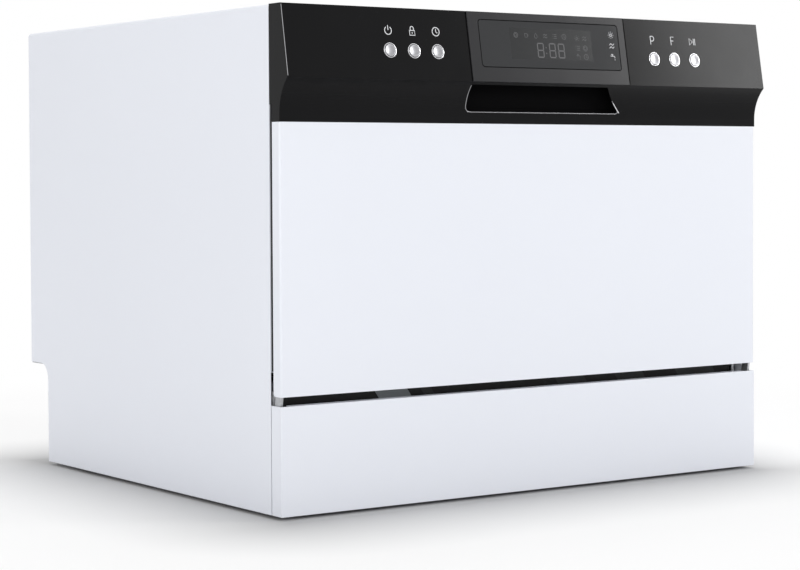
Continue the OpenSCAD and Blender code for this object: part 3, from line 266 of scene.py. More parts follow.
def moulded_finish(name, base, roughness=0.5, grain=1400, specular=0.45):
    """Matt moulded plastic: an eroded grain and a faint drift of tone."""
    material, shader, tree = new_finish(name, base, roughness, specular=specular)
    coloured(shader, noise(tree, 12, 3), base, 0.93, 1.06)
    bump(tree, shader, noise(tree, grain, 3), 0.00004, 0.5)
    return material


def rubber_finish(name, base):
    """Soft rubber with a dusty bloom."""
    material, shader, tree = new_finish(name, base, 0.75, specular=0.3)
    coloured(shader, noise(tree, 90, 5), base, 1.0, 1.7)
    bump(tree, shader, noise(tree, 700, 2), 0.00005, 0.5)
    return material


def plated_finish(name, base, grain, dullest, brightest):
    """Bright metal plating with a soft haze in its roughness."""
    material, shader, tree = new_finish(name, base, (dullest + brightest) / 2, metallic=1.0)
    roughened(shader, noise(tree, grain, 3), brightest, dullest)
    return material


def button_cap_finish():
    """Spun silver button caps: fine streaks in tone and roughness."""
    base = (0.34, 0.34, 0.355)
    material, shader, tree = new_finish("spun_silver", base, 0.3, metallic=1.0)
    streaks = noise(tree, 300, 4, (1, 1, 3))
    coloured(shader, streaks, base, 0.75, 1.2)
    roughened(shader, streaks, 0.24, 0.38)
    return material


def gap_shade_finish():
    """The cross-member in the gap, painted as the gap's shade: near-black, with lighter patches that have
    slanting ends, which are painted glints, partly bare zinc. A ramp of steps runs along x with 0.7 of z
    added, from a quarter of a metre left to 0.35 m right."""
    material, shader, tree = new_finish("patched_steel", (0.02, 0.02, 0.021), 0.45, specular=0.3)
    place = added(tree, "TexCoord", {}).outputs["Object"]
    parts = added(tree, "SeparateXYZ", {0: place}).outputs
    slant = math_node(tree, "MULTIPLY_ADD", parts["Z"], 0.7, parts["X"])
    run = added(tree, "MapRange", {"From Min": -0.25, "From Max": 0.35, "Value": slant}).outputs["Result"]
    patches = added(tree, "ValToRGB", {"Fac": run})
    patches.color_ramp.interpolation = "CONSTANT"
    # Painted shade and glints: dark is the gap's shade, faint the painted glints, and bare the lighter
    # patches, partly bare zinc and partly painted glint.
    dark, faint, bare = (0.010, 0.010, 0.011, 1), (0.035, 0.036, 0.038, 1), (0.30, 0.32, 0.34, 1)
    stops = patches.color_ramp.elements
    stops[0].position, stops[0].color = 0.0, dark
    stops[1].position, stops[1].color = 0.26, bare
    for position, tone in ((0.317, dark), (0.34, faint), (0.36, dark), (0.60, faint), (0.66, dark),
                           (0.72, faint), (0.78, dark), (0.85, faint), (0.93, dark)):
        stops.new(position).color = tone
    tree.links.new(patches.outputs["Color"], shader.inputs["Base Color"])
    bump(tree, shader, noise(tree, 300, 3), 0.0001, 0.5)
    return material


def coil_finish():
    """Spring wire: close coils as a wave along Z, in height, and in tone as painted shade between the turns.
    """
    base = (0.34, 0.345, 0.36)
    material, shader, tree = new_finish("coiled_wire", base, 0.35, metallic=1.0)
    wave = added(tree, "TexWave", {"Scale": 260, "Vector": object_coords(tree)}, bands_direction="Z")
    coloured(shader, wave.outputs["Fac"], base, 0.25, 1.0)
    bump(tree, shader, wave.outputs["Fac"], 0.0006)
    return material


def board_finish():
    """Circuit board: copper tracks show through the lacquer as lighter lines."""
    base = (0.012, 0.075, 0.03)
    material, shader, tree = new_finish("circuit_board", base, 0.35, coat=0.3)
    bricks = added(tree, "TexBrick", {"Scale": 90, "Color1": (*base, 1), "Color2": (*scaled(base, 1.3), 1),
                                      "Mortar": (0.05, 0.17, 0.06, 1), "Mortar Size": 0.06,
                                      "Vector": object_coords(tree)})
    tree.links.new(bricks.outputs["Color"], shader.inputs["Base Color"])
    return material


def ink_finish(name, base, roughness=0.5):
    """Printed ink, a little uneven."""
    material, shader, tree = new_finish(name, base, roughness, specular=0.3)
    coloured(shader, noise(tree, 2500, 2), base, 0.9, 1.05)
    return material


FINISHES = {}


def make_finishes():
    """One material for each slot of the record, and those of the signs and seams."""
    chosen = {name: tuple(getattr(colours(), name)) for name in DishwasherColours.__annotations__}
    FINISHES.update({
        "white_paint": paint_finish(),
        "galvanised": zinc_finish(),
        "stainless": brushed_finish("stainless_sheet", chosen["steel"], 0.26, (1, 1, 14)),
        "black_plastic": gloss_black_finish("gloss_black_moulding", chosen["gloss_black"], 0.17, 0.11),
        "dark_plastic": moulded_finish("dark_moulding", (0.03, 0.03, 0.033)),
        "grey_plastic": moulded_finish("grey_moulding", (0.24, 0.25, 0.28)),
        "light_plastic": moulded_finish("light_moulding", (0.62, 0.64, 0.66)),
        "smoked": gloss_black_finish("smoked_window", chosen["window"], 0.1, 0.25),
        "chrome": plated_finish("bright_plating", (0.78, 0.78, 0.80), 500, 0.22, 0.12),
        "rubber": rubber_finish("black_rubber", (0.012, 0.012, 0.012)),
        "gasket": rubber_finish("grey_gasket", (0.04, 0.04, 0.043)),
        "board": board_finish(),
        "coated_wire": moulded_finish("wire_coating", chosen["rack_white"], 0.35, 900),
        "blue_plastic": moulded_finish("blue_moulding", (0.04, 0.12, 0.33)),
        "pump_metal": moulded_finish("motor_paint", (0.07, 0.075, 0.09), 0.45, 500),
        "block_black": gloss_black_finish("display_block", chosen["block_black"], 0.2, 0.2),
        "pocket_black": moulded_finish("pocket_black", (0.003, 0.003, 0.0033), 0.8, 900, 0.03),
        "seam_dark": moulded_finish("seam_shadow", (0.0015, 0.0015, 0.0015), 0.9, 900, 0.05),
        "screen_dark": moulded_finish("screen_glass", (0.017, 0.018, 0.019), 0.2, 900, 0.2),
        "silver_plastic": button_cap_finish(),
        # Painted shade with painted glints, for the cross-member seen through the gap under the door.
        "gap_shade_steel": gap_shade_finish(),
        "coiled_wire": coil_finish(),
        # Bright plating for the painted highlights on the pocket's rim and on the face's left edge.
        "polished_edge": plated_finish("polished_edge", (0.30, 0.30, 0.31), 200, 0.3, 0.14),
        "sign_ink": ink_finish("sign_ink", chosen["sign_ink"]),
        "ghost_ink": ink_finish("unlit_segments", chosen["ghost_ink"], 0.3),
    })


# ---------- meshes ----------

def grid_faces(rows, columns, close_rows=False, close_columns=False):
    """Quads of a grid whose points are numbered row by row; a closed side joins its last line to its
    first."""
    r = np.arange(rows if close_rows else rows - 1)
    c = np.arange(columns if close_columns else columns - 1)
    i, j = np.meshgrid(r, c, indexing="ij")
    i, j = i.ravel(), j.ravel()
    down, across = (i + 1) % rows, (j + 1) % columns
    return np.stack([i * columns + j, down * columns + j, down * columns + across, i * columns + across], 1)


def shell_object(name, points, faces, slot, body, smooth=True, caps=()):
    """Puts points and quads into a mesh, merges doubled points, turns faces outwards and rides on a body."""
    mesh = bpy.data.meshes.new(name)
    rows = np.asarray(points, float).reshape(-1, 3).tolist()
    mesh.from_pydata(rows, [], faces.tolist() + [list(cap) for cap in caps])
    work = bmesh.new()
    work.from_mesh(mesh)
    bmesh.ops.remove_doubles(work, verts=work.verts, dist=1e-6)
    bmesh.ops.recalc_face_normals(work, faces=work.faces)
    work.to_mesh(mesh)
    work.free()
    if smooth:
        mesh.shade_smooth()
        mesh.set_sharp_from_angle(angle=math.radians(40))
    piece = bpy.data.objects.new(name, mesh)
    bpy.context.scene.collection.objects.link(piece)
    piece.data.materials.append(FINISHES[slot])
    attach(piece, body)
    return piece


def softened(node, edge, steps=3, slot=None, angle=35):
    """A copy of a CAD node, with its flat facets merged and its sharp edges rounded; it replaces the node."""
    source = frame["nodes"][node]
    mesh = source.data.copy()
    mesh.materials.clear()
    mesh.name = node + "_finished"
    work = bmesh.new()
    work.from_mesh(mesh)
    bmesh.ops.remove_doubles(work, verts=work.verts, dist=1e-6)
    bmesh.ops.dissolve_limit(work, angle_limit=math.radians(0.6), verts=work.verts, edges=work.edges)
    work.to_mesh(mesh)
    work.free()
    mesh.shade_smooth()
    mesh.set_sharp_from_angle(angle=math.radians(angle))
    piece = bpy.data.objects.new(node + "_finished", mesh)
    bpy.context.scene.collection.objects.link(piece)
    rounding = piece.modifiers.new("rounded_edges", "BEVEL")
    rounding.width = edge
    rounding.segments = steps
    rounding.limit_method = "ANGLE"
    rounding.angle_limit = math.radians(angle)
    rounding.harden_normals = True
    rounding.use_clamp_overlap = True
    evened = piece.modifiers.new("even_shading", "WEIGHTED_NORMAL")
    evened.keep_sharp = True
    slot = slot or NODE_SLOT[node]
    piece.data.materials.append(FINISHES[slot])
    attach(piece, NODE_BODY[node])
    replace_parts(piece, node)
    return piece


def rods(starts, ends, radius, sides=16):
    """Straight round rods: each is a circle swept from its start to its end, with its ends closed by a
    smaller ring and a centre. Returns points and quads of all the rods at once."""
    starts, ends = np.asarray(starts, float), np.asarray(ends, float)
    along = ends - starts
    along /= np.linalg.norm(along, axis=1, keepdims=True)
    helper = np.where(np.abs(along[:, 2:3]) > 0.9, np.array([[1.0, 0, 0]]), np.array([[0, 0, 1.0]]))
    side = np.cross(along, helper)
    side /= np.linalg.norm(side, axis=1, keepdims=True)
    up = np.cross(side, along)
    angle = np.linspace(0, 2 * np.pi, sides, endpoint=False)
    ring = np.cos(angle)[None, :, None] * side[:, None, :] + np.sin(angle)[None, :, None] * up[:, None, :]
    tip = 0.35 * radius
    stations = [(starts, 0.0, 0.0), (starts, 0.0, 0.6), (starts, tip, 1.0),
                (ends, -tip, 1.0), (ends, 0.0, 0.6), (ends, 0.0, 0.0)]
    rings = [centre[:, None, :] + offset * along[:, None, :] + scale * radius * ring
             for centre, offset, scale in stations]
    points = np.stack(rings, 1)
    count, rows = points.shape[0], points.shape[1]
    quads = grid_faces(rows, sides, close_columns=True)
    faces = (quads[None] + (np.arange(count) * rows * sides)[:, None, None]).reshape(-1, 4)
    return points.reshape(-1, 3), faces


def revolved(profile, origin, axis, sides=48):
    """A profile of (distance along the axis, radius) pairs turned about an axis through origin."""
    profile = np.asarray(profile, float)
    axis = np.array(axis, float) / np.linalg.norm(axis)
    helper = np.array([1.0, 0, 0]) if abs(axis[0]) < 0.9 else np.array([0, 1.0, 0])
    side = np.cross(axis, helper)
    side /= np.linalg.norm(side)
    up = np.cross(axis, side)
    angle = np.linspace(0, 2 * np.pi, sides, endpoint=False)
    ring = np.cos(angle)[:, None] * side + np.sin(angle)[:, None] * up
    points = (np.array(origin, float) + profile[:, 0][:, None, None] * axis
              + profile[:, 1][:, None, None] * ring[None])
    return points.reshape(-1, 3), grid_faces(len(profile), sides, close_columns=True)


def swept(path, side, profile, closed=False):
    """A profile carried along a path. At each point the profile's first number runs along side, which is
    square to the path, and its second along the path's direction crossed with side. The direction is the
    difference of the neighbouring points. Open ends are closed by a face."""
    path = np.asarray(path, float)
    side = np.broadcast_to(np.asarray(side, float), path.shape)
    if closed:
        along = np.roll(path, -1, 0) - np.roll(path, 1, 0)
    else:
        along = np.gradient(path, axis=0)
    along = along / np.linalg.norm(along, axis=1, keepdims=True)
    other = np.cross(along, side)
    other /= np.linalg.norm(other, axis=1, keepdims=True)
    side = np.cross(other, along)
    profile = np.asarray(profile, float)
    if profile.ndim == 2:
        profile = np.broadcast_to(profile, (len(path),) + profile.shape)
    points = (path[:, None, :] + profile[:, :, 0:1] * side[:, None, :]
              + profile[:, :, 1:2] * other[:, None, :])
    rows, columns = points.shape[:2]
    faces = grid_faces(rows, columns, close_rows=closed, close_columns=True)
    caps = [] if closed else [list(range(columns)), list(range((rows - 1) * columns, rows * columns))]
    return points.reshape(-1, 3), faces, caps


def circle_profile(radius, sides=12):
    """Points of a circle: radius times (cosine, sine)."""
    angle = np.linspace(0, 2 * np.pi, sides, endpoint=False)
    return radius * np.stack([np.cos(angle), np.sin(angle)], 1)


def rounded_path(corners, radius, steps=5, closed=False):
    """A polyline whose corners are replaced by arcs. Each arc runs between the points at which a circle of
    the radius touches the two straight stretches, as a quadratic curve through the corner."""
    corners = np.asarray(corners, float)
    before, after = np.roll(corners, 1, 0), np.roll(corners, -1, 0)
    t = np.linspace(0, 1, steps)[:, None]
    pieces = []
    for i, corner in enumerate(corners):
        if not closed and i in (0, len(corners) - 1):
            pieces.append(corner[None])
            continue
        back, ahead = before[i] - corner, after[i] - corner
        reach = min(radius, 0.45 * np.linalg.norm(back), 0.45 * np.linalg.norm(ahead))
        start = corner + reach * back / np.linalg.norm(back)
        end = corner + reach * ahead / np.linalg.norm(ahead)
        pieces.append((1 - t) ** 2 * start + 2 * t * (1 - t) * corner + t ** 2 * end)
    return np.concatenate(pieces)


def tube(corners, radius, side, bend=0.0, closed=False, sides=14):
    """A round tube along corners in millimetres, bent at each; side is square to the plane of the bends."""
    path = np.asarray(corners, float)
    if bend:
        path = rounded_path(path, bend, 7, closed)
    return swept(path * MM, side, circle_profile(radius * MM, sides), closed)


def boxes(lows, highs):
    """Boxes between pairs of corners in millimetres, as points and quads."""
    lows, highs = np.asarray(lows, float), np.asarray(highs, float)
    pick = np.array([(0, 0, 0), (1, 0, 0), (1, 1, 0), (0, 1, 0), (0, 0, 1), (1, 0, 1), (1, 1, 1), (0, 1, 1)])
    points = lows[:, None, :] + (highs - lows)[:, None, :] * pick
    quads = np.array([(0, 3, 2, 1), (4, 5, 6, 7), (0, 1, 5, 4), (1, 2, 6, 5), (2, 3, 7, 6), (3, 0, 4, 7)])
    faces = (quads[None] + 8 * np.arange(len(lows))[:, None, None]).reshape(-1, 4)
    return points.reshape(-1, 3) * MM, faces


def turned(profile, origin, axis, sides=48):
    """A closed profile of (distance, radius) pairs in millimetres turned about an axis."""
    profile = np.asarray(profile, float) * MM
    if profile[0, 1] > 0 or profile[-1, 1] > 0:
        profile = np.concatenate([profile, profile[:1]])
    return revolved(profile, np.asarray(origin, float) * MM, axis, sides)


def rounded_off(piece, edge, steps=2):
    """Adds a bevel to a built piece's sharp edges."""
    rounding = piece.modifiers.new("rounded_edges", "BEVEL")
    rounding.width = edge
    rounding.segments = steps
    rounding.limit_method = "ANGLE"
    rounding.angle_limit = math.radians(40)
    return piece


def joined(parts):
    """Puts several (points, faces, caps) sets into one."""
    points, faces, caps, start = [], [], [], 0
    for part in parts:
        points.append(part[0])
        faces.append(np.asarray(part[1]) + start)
        caps += [[index + start for index in cap] for cap in (part[2] if len(part) > 2 else [])]
        start += len(part[0])
    return np.concatenate(points), np.concatenate(faces), caps


def built(name, parts, slot, body, smooth=True):
    """One piece made of several (points, faces, caps) sets."""
    points, faces, caps = joined(parts)
    return shell_object(name, points, faces, slot, body, smooth, caps)


# ---------- the console's leaning face ----------

# The face leans out from its crest, under the cabinet's top, to its lip. Under the lip a hollow runs back
# to the door panel's plane at the knee. The finger pocket is cut into the hollow.
LIP = np.array([0.0, -0.248818, 0.375])
CREST = np.array([0.0, -0.237818, 0.438])
DOWN = (LIP - CREST) / np.linalg.norm(LIP - CREST)
OUT = np.array([0.0, DOWN[2], -DOWN[1]])
BLOCK_OUT = 1.2 * MM
BUTTONS = {"power_button": -167.3, "lock_button": -141.8, "delay_button": -116.3,
           "program_button": 136.3, "function_button": 161.8, "start_button": 187.3}
BUTTON_DROP = 38.0 * MM
DOOR_PLANE, KNEE, LIP_HEIGHT, LIP_REACH = -235.818, 345.0, 30.0, 13.0
HOLLOW_RADIUS = (LIP_REACH ** 2 + LIP_HEIGHT ** 2) / (2 * LIP_REACH)
POCKET_LEFT, POCKET_RIGHT, POCKET_FOOT, POCKET_HEAD = -80.6, 100.0, 348.4, 374.0


def face_points(flat, out=0.0):
    """Flat (x, distance down the face) pairs put on the console's face, and raised by out."""
    flat = np.asarray(flat, float)
    return CREST + flat[:, 0:1] * np.array([1.0, 0, 0]) + flat[:, 1:2] * DOWN + out * OUT


def face_drop(z):
    """Distance down the face of a height."""
    return (CREST[2] - z) / -DOWN[2]


def stroke(flat, width, out, closed=False):
    """A printed line on the face: a thin box section carried along a flat path."""
    rise, half = sizes().ink_height, width / 2
    profile = [(-rise, -half), (rise, -half), (rise, half), (-rise, half)]
    return swept(face_points(flat, out), OUT, profile, closed)


def arc(centre, radius, start, end, steps=20):
    """Points of a circle's arc between two angles in degrees."""
    angle = np.radians(np.linspace(start, end, steps))
    return np.asarray(centre, float) + radius * np.stack([np.cos(angle), -np.sin(angle)], 1)


def open_line(*points):
    """An icon's open line."""
    return np.array(points, float), False


def ring(radius):
    """An icon's circle about its middle."""
    return arc((0, 0), radius, 0, 345, 24), True


def ray(angle, inner):
    """A short line away from an icon's middle, from inner to 1."""
    way = np.array([math.cos(angle), math.sin(angle)])
    return open_line(inner * way, way)


QUARTER_TURN = np.linspace(-1.57, 1.57, 10)
LETTER_BOWL = np.stack([0.05 + 0.55 * np.cos(QUARTER_TURN), -0.4 + 0.55 * np.sin(QUARTER_TURN)], 1)
RIPPLE = np.linspace(-0.9, 0.9, 16)

# Each icon's lines in a square from -1 to 1, x to the right and y down, as (points, closed) pairs.
ICONS = {
    "power": [(arc((0, 0.1), 0.85, 125, 415, 26), False), open_line((0, -1), (0, 0.05))],
    "padlock": [open_line((-0.65, -0.05), (0.65, -0.05), (0.65, 0.95), (-0.65, 0.95), (-0.65, -0.05)),
                open_line((-0.42, -0.05), *arc((0, -0.5), 0.42, 180, 0, 12), (0.42, -0.05)),
                open_line((0, 0.3), (0, 0.6))],
    "clock": [ring(0.9), open_line((0, -0.55), (0, 0.05), (0.4, 0.3))],
    "list": [open_line((x0, y), (x1, y))
             for x0, x1 in ((-0.4, 0.9), (-0.92, -0.72)) for y in (-0.65, 0.0, 0.65)],
    "play": [(np.array([(-0.85, -0.75), (0.15, 0), (-0.85, 0.75)]), True),
             open_line((0.45, -0.75), (0.45, 0.75)), open_line((0.85, -0.75), (0.85, 0.75))],
    "waves": [(np.stack([RIPPLE, y + 0.22 * np.sin(RIPPLE * 5)], 1), False) for y in (-0.45, 0.45)],
    "tap": [open_line((-0.9, -0.35), (0.3, -0.35), (0.65, -0.1), (0.65, 0.3)),
            open_line((-0.25, -0.85), (-0.25, -0.35)), open_line((-0.6, -0.85), (0.1, -0.85)),
            open_line((0.65, 0.6), (0.65, 0.85))],
    "drop": [(np.array([(0, -0.95), *arc((0, 0.3), 0.6, 30, -210, 16)]), True)],
    "plate": [ring(0.9), ring(0.5)],
    "cup": [open_line((-0.7, -0.6), (-0.55, 0.7), (0.35, 0.7), (0.5, -0.6), (-0.7, -0.6)),
            (arc((0.5, 0.0), 0.35, 80, -80, 8), False)],
    "letter_p": [open_line((-0.45, 0.95), (-0.45, -0.95)),
                 open_line((-0.45, -0.95), *LETTER_BOWL, (-0.45, 0.15))],
    "letter_f": [open_line((-0.4, 0.95), (-0.4, -0.95), (0.5, -0.95)),
                 open_line((-0.4, -0.05), (0.35, -0.05))],
    "sun": [ring(0.36)] + [ray(angle, 0.78) for angle in np.radians(np.arange(0, 360, 45))],
}


def icon(shape, x, drop, size, width, out):
    """One icon's lines at a place on the face."""
    return [stroke(np.asarray(points) * size / 2 + (x, drop), width, out, closed)
            for points, closed in ICONS[shape]]


def on_hollow(flat, out=0.0):
    """(x, z) pairs in millimetres laid on the console's hollow underside and raised by out: y is the hollow's
    middle plus the root of its radius squared less the height over the knee squared. Returns the points and
    the direction into the hollow at each."""
    flat = np.asarray(flat, float)
    rise = np.maximum(flat[:, 1] - KNEE, 0)
    centre = DOOR_PLANE - HOLLOW_RADIUS
    y = centre + np.sqrt(HOLLOW_RADIUS ** 2 - rise ** 2)
    inward = np.stack([np.zeros(len(y)), centre - y, -rise], 1)
    inward /= np.linalg.norm(inward, axis=1, keepdims=True)
    return (np.stack([flat[:, 0], y, flat[:, 1]], 1) + out * inward) * MM, inward


def rim_highlight_path():
    """The path of a painted highlight along the finger pocket's rim: down its left side, along its foot and a
    little way up its slanting right end."""
    flat = rounded_path([(POCKET_LEFT, POCKET_HEAD - 2), (POCKET_LEFT, POCKET_FOOT),
                         (POCKET_RIGHT, POCKET_FOOT), (POCKET_RIGHT - 11.5, POCKET_FOOT + 12.1)], 6.0, 7)
    return on_hollow(np.concatenate([np.linspace(flat[0], flat[1], 9)[:-1], flat[1:-1],
                                     np.linspace(flat[-2], flat[-1], 7)[1:]]))


def pocket_end():
    """The pocket's right end: a slab on the hollow between the pocket's side and a line that slants from its
    foot. Its front and back are grids of across by up, and a wall of quads joins their edges."""
    columns, rows, lean, thick = 9, 17, 24.0, 2.0
    across, up = np.meshgrid(np.linspace(0, 1, columns), np.linspace(POCKET_FOOT, POCKET_HEAD, rows),
                             indexing="ij")
    left = POCKET_RIGHT - lean * (up - POCKET_FOOT) / (POCKET_HEAD - POCKET_FOOT)
    flat = np.stack([left + across * (POCKET_RIGHT + 1.4 - left), up], -1).reshape(-1, 2)
    front, back = on_hollow(flat, 0.05)[0], on_hollow(flat, -thick)[0]
    number = np.arange(columns * rows).reshape(columns, rows)
    edge = np.concatenate([number[0], number[1:, -1], number[-1, -2::-1], number[-2:0:-1, 0]])
    after, behind = np.roll(edge, -1), number.size
    wall = np.stack([edge, after, after + behind, edge + behind], 1)
    quads = grid_faces(columns, rows)
    return np.concatenate([front, back]), np.concatenate([quads, quads[:, ::-1] + behind, wall])


# ---------- operators, one for each piece or group ----------

class DISHWASHER_OT_finishes(bpy.types.Operator):
    """Make the finishes, and give every solid its own"""
    bl_idname = "dishwasher.finishes"
    bl_label = "Finishes"

    def execute(self, context):
        make_finishes()
        for node, solid in frame["nodes"].items():
            solid.data.materials.clear()
            slot = "coiled_wire" if node == "door_springs" else NODE_SLOT[node]
            solid.data.materials.append(FINISHES[slot])
        return {"FINISHED"}


class DISHWASHER_OT_cabinet(bpy.types.Operator):
    """Round the folded edges of the cabinet's sheet panels"""
    bl_idname = "dishwasher.cabinet"
    bl_label = "Cabinet panels"

    def execute(self, context):
        edge, steps = sizes().panel_edge, sizes().edge_steps
        for node, width in (("outer_wrapper", 0.45 * MM), ("plinth_panel", edge), ("door_panel", edge)):
            softened(node, width, steps)
        for node in ("rear_panel", "base_tray"):
            softened(node, sizes().small_edge, 2)
        # The cross-member seen through the gap under the door gets painted shade and painted glints.
        softened("front_crossmember", sizes().small_edge, 2, slot="gap_shade_steel")
        # Painted shade: dark strips laid in the seam between the cabinet and the door stand in for the shadow
        # there.
        outer, inner, front, rear, foot, head = 273.9, 265.9, -219.9, -218.9, 126, 434
        seal = boxes([(-outer, front, foot), (inner, front, foot), (0.1 - inner, front, head - 6)],
                     [(-inner, rear, head), (outer, rear, head), (inner - 0.1, rear, head)])
        rounded_off(built("edge_seal", [seal], "gasket", "cabinet", smooth=False), 0.2 * MM)
        return {"FINISHED"}


class DISHWASHER_OT_console(bpy.types.Operator):
    """Round the console moulding, its finger pocket and its display block"""
    bl_idname = "dishwasher.console"
    bl_label = "Console"

    def execute(self, context):
        softened("console_shell", sizes().moulded_edge, sizes().edge_steps)
        softened("handle_cup", sizes().small_edge, 2, slot="pocket_black")
        softened("display_bezel", 0.45 * MM, 3, slot="block_black")
        softened("display_window", sizes().small_edge, 3)
        # Painted shade: dark strokes round the window and beside the display block's ends stand in for the
        # shadow in their seams.
        left, right, top, foot = -69.3, 93.3, 7.3, 50.5
        corners = np.array([(left, top), (right, top), (right, foot), (left, foot)])
        groove_shadow = rounded_path(corners * MM, 3.4 * MM, 6, closed=True)
        parts = [stroke(groove_shadow, 0.7 * MM, BLOCK_OUT, closed=True)]
        for x, wide in ((-81.4, 0.8), (102.2, 1.8)):
            parts.append(stroke(np.array([(x, 0.4), (x, 32), (x, 63.4)]) * MM, wide * MM, 0.0))
        built("block_seams", parts, "seam_dark", "door", smooth=False)
        columns, rows = 20, 8
        across, down = np.meshgrid(np.linspace(-35, 60, columns), np.linspace(13.5, 42.5, rows),
                                   indexing="ij")
        flat = np.stack([across.ravel(), down.ravel()], 1) * MM
        shell_object("screen", face_points(flat, BLOCK_OUT + 0.02 * MM), grid_faces(columns, rows),
                     "screen_dark", "door", smooth=False)
        # Painted highlight: a bright metal bead along the pocket's rim.
        rim = swept(*rim_highlight_path(), circle_profile(0.45 * MM, 10))
        built("pocket_rim", [rim], "polished_edge", "door")
        built("pocket_end", [pocket_end()], "black_plastic", "door")
        glint = on_hollow(np.linspace((99.0, 349.4), (90.5, 358.4), 7), 0.25)
        built("pocket_glint", [swept(*glint, circle_profile(0.55 * MM, 10))], "chrome", "door")
        # Painted highlight: a bright bead down the left edge of the console's face.
        streak = face_points(np.array([(-274.2, 1.2), (-274.2, 32), (-274.2, 62.5)]) * MM, 0.02 * MM)
        built("edge_streak", [swept(streak, OUT, circle_profile(0.35 * MM, 8))], "polished_edge", "door")
        return {"FINISHED"}


class DISHWASHER_OT_buttons(bpy.types.Operator):
    """Turn the six button caps and their bright rims"""
    bl_idname = "dishwasher.buttons"
    bl_label = "Buttons"

    def execute(self, context):
        rim = np.array([(-0.2, 5.95), (0.35, 5.95), (0.58, 6.15), (0.6, 6.35), (0.5, 6.6), (0.2, 6.7),
                        (-0.2, 6.7), (-0.2, 5.95)]) * MM
        cap = np.array([(-3.0, 0), (-3.0, 6.8), (-2.85, 6.8), (-2.85, 5.55), (0.45, 5.58), (0.75, 5.4),
                        (0.86, 5.1), (0.8, 4.6), (0.55, 3.0), (0.42, 1.5), (0.38, 0)]) * MM
        rings = []
        for node, x in BUTTONS.items():
            foot = face_points([(x * MM, BUTTON_DROP)])[0]
            rings.append(revolved(rim, foot, OUT, 64))
            made = shell_object(node + "_cap", *revolved(cap, foot, OUT, 64), "silver_plastic", node)
            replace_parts(made, node)
        made = built("button_rims", rings, "chrome", "door")
        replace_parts(made, "button_rings")
        return {"FINISHED"}


class DISHWASHER_OT_signs(bpy.types.Operator):
    """Print the icons over the buttons and beside the window"""
    bl_idname = "dishwasher.signs"
    bl_label = "Signs"

    def execute(self, context):
        size, width = sizes().icon_size, sizes().icon_stroke
        shapes = ("power", "padlock", "clock", "letter_p", "letter_f", "play")
        parts = []
        for shape, x in zip(shapes, BUTTONS.values()):
            parts += icon(shape, x * MM, BUTTON_DROP - sizes().icon_rise, size, width, 0.0)
        built("button_signs", parts, "sign_ink", "door", smooth=False)
        parts = []
        for shape, z in (("sun", 421.3), ("waves", 411.2), ("tap", 400.6)):
            parts += icon(shape, 84.5 * MM, face_drop(z * MM), 6.4 * MM, 0.55 * MM, BLOCK_OUT)
        built("window_signs", parts, "sign_ink", "door", smooth=False)
        return {"FINISHED"}


class DISHWASHER_OT_digits(bpy.types.Operator):
    """Lay the unlit segments behind the window"""
    bl_idname = "dishwasher.digits"
    bl_label = "Unlit segments"

    def execute(self, context):
        tall, wide, gap, colon = 6.4, 6.6, 0.35, 5.6
        middle = face_drop(404.8 * MM) / MM
        bars = [(colon, y - 0.5, colon, y + 0.5) for y in (-2.6, 2.6)]
        for left in (-4.2, 9.6, 20.0):
            bars += [(left + gap, y, left + wide - gap, y) for y in (-tall, 0, tall)]
            bars += [(x, y + gap, x, y + tall - gap) for x in (left, left + wide) for y in (-tall, 0)]
        parts = [stroke(np.array([(x0, middle + y0), (x1, middle + y1)]) * MM, 1.0 * MM, BLOCK_OUT)
                 for x0, y0, x1, y1 in bars]
        for shape, x in (("plate", -28), ("cup", -16), ("drop", -5),
                         ("waves", 6), ("list", 17), ("clock", 28)):
            parts += icon(shape, x * MM, face_drop(418 * MM), 5.2 * MM, 0.4 * MM, BLOCK_OUT)
        for shape, x, z in (("sun", 43, 417), ("waves", 52, 417), ("list", 43, 408), ("plate", 52, 408),
                            ("tap", 43, 400), ("clock", 52, 400)):
            parts += icon(shape, x * MM, face_drop(z * MM), 5.6 * MM, 0.35 * MM, BLOCK_OUT)
        built("unlit_segments", parts, "ghost_ink", "door", smooth=False)
        return {"FINISHED"}


SIDE_X, SIDE_Y, SIDE_Z = (1.0, 0, 0), (0, 1.0, 0), (0, 0, 1.0)
RACK_HALF, RACK_FLOOR, RACK_TOP, RACK_REAR = 200.0, 162.0, 258.0, 165.0
RACK_FRONT_LOW, RACK_FRONT_TOP = -128.818, -183.818
WIRE_LAY = 2.6


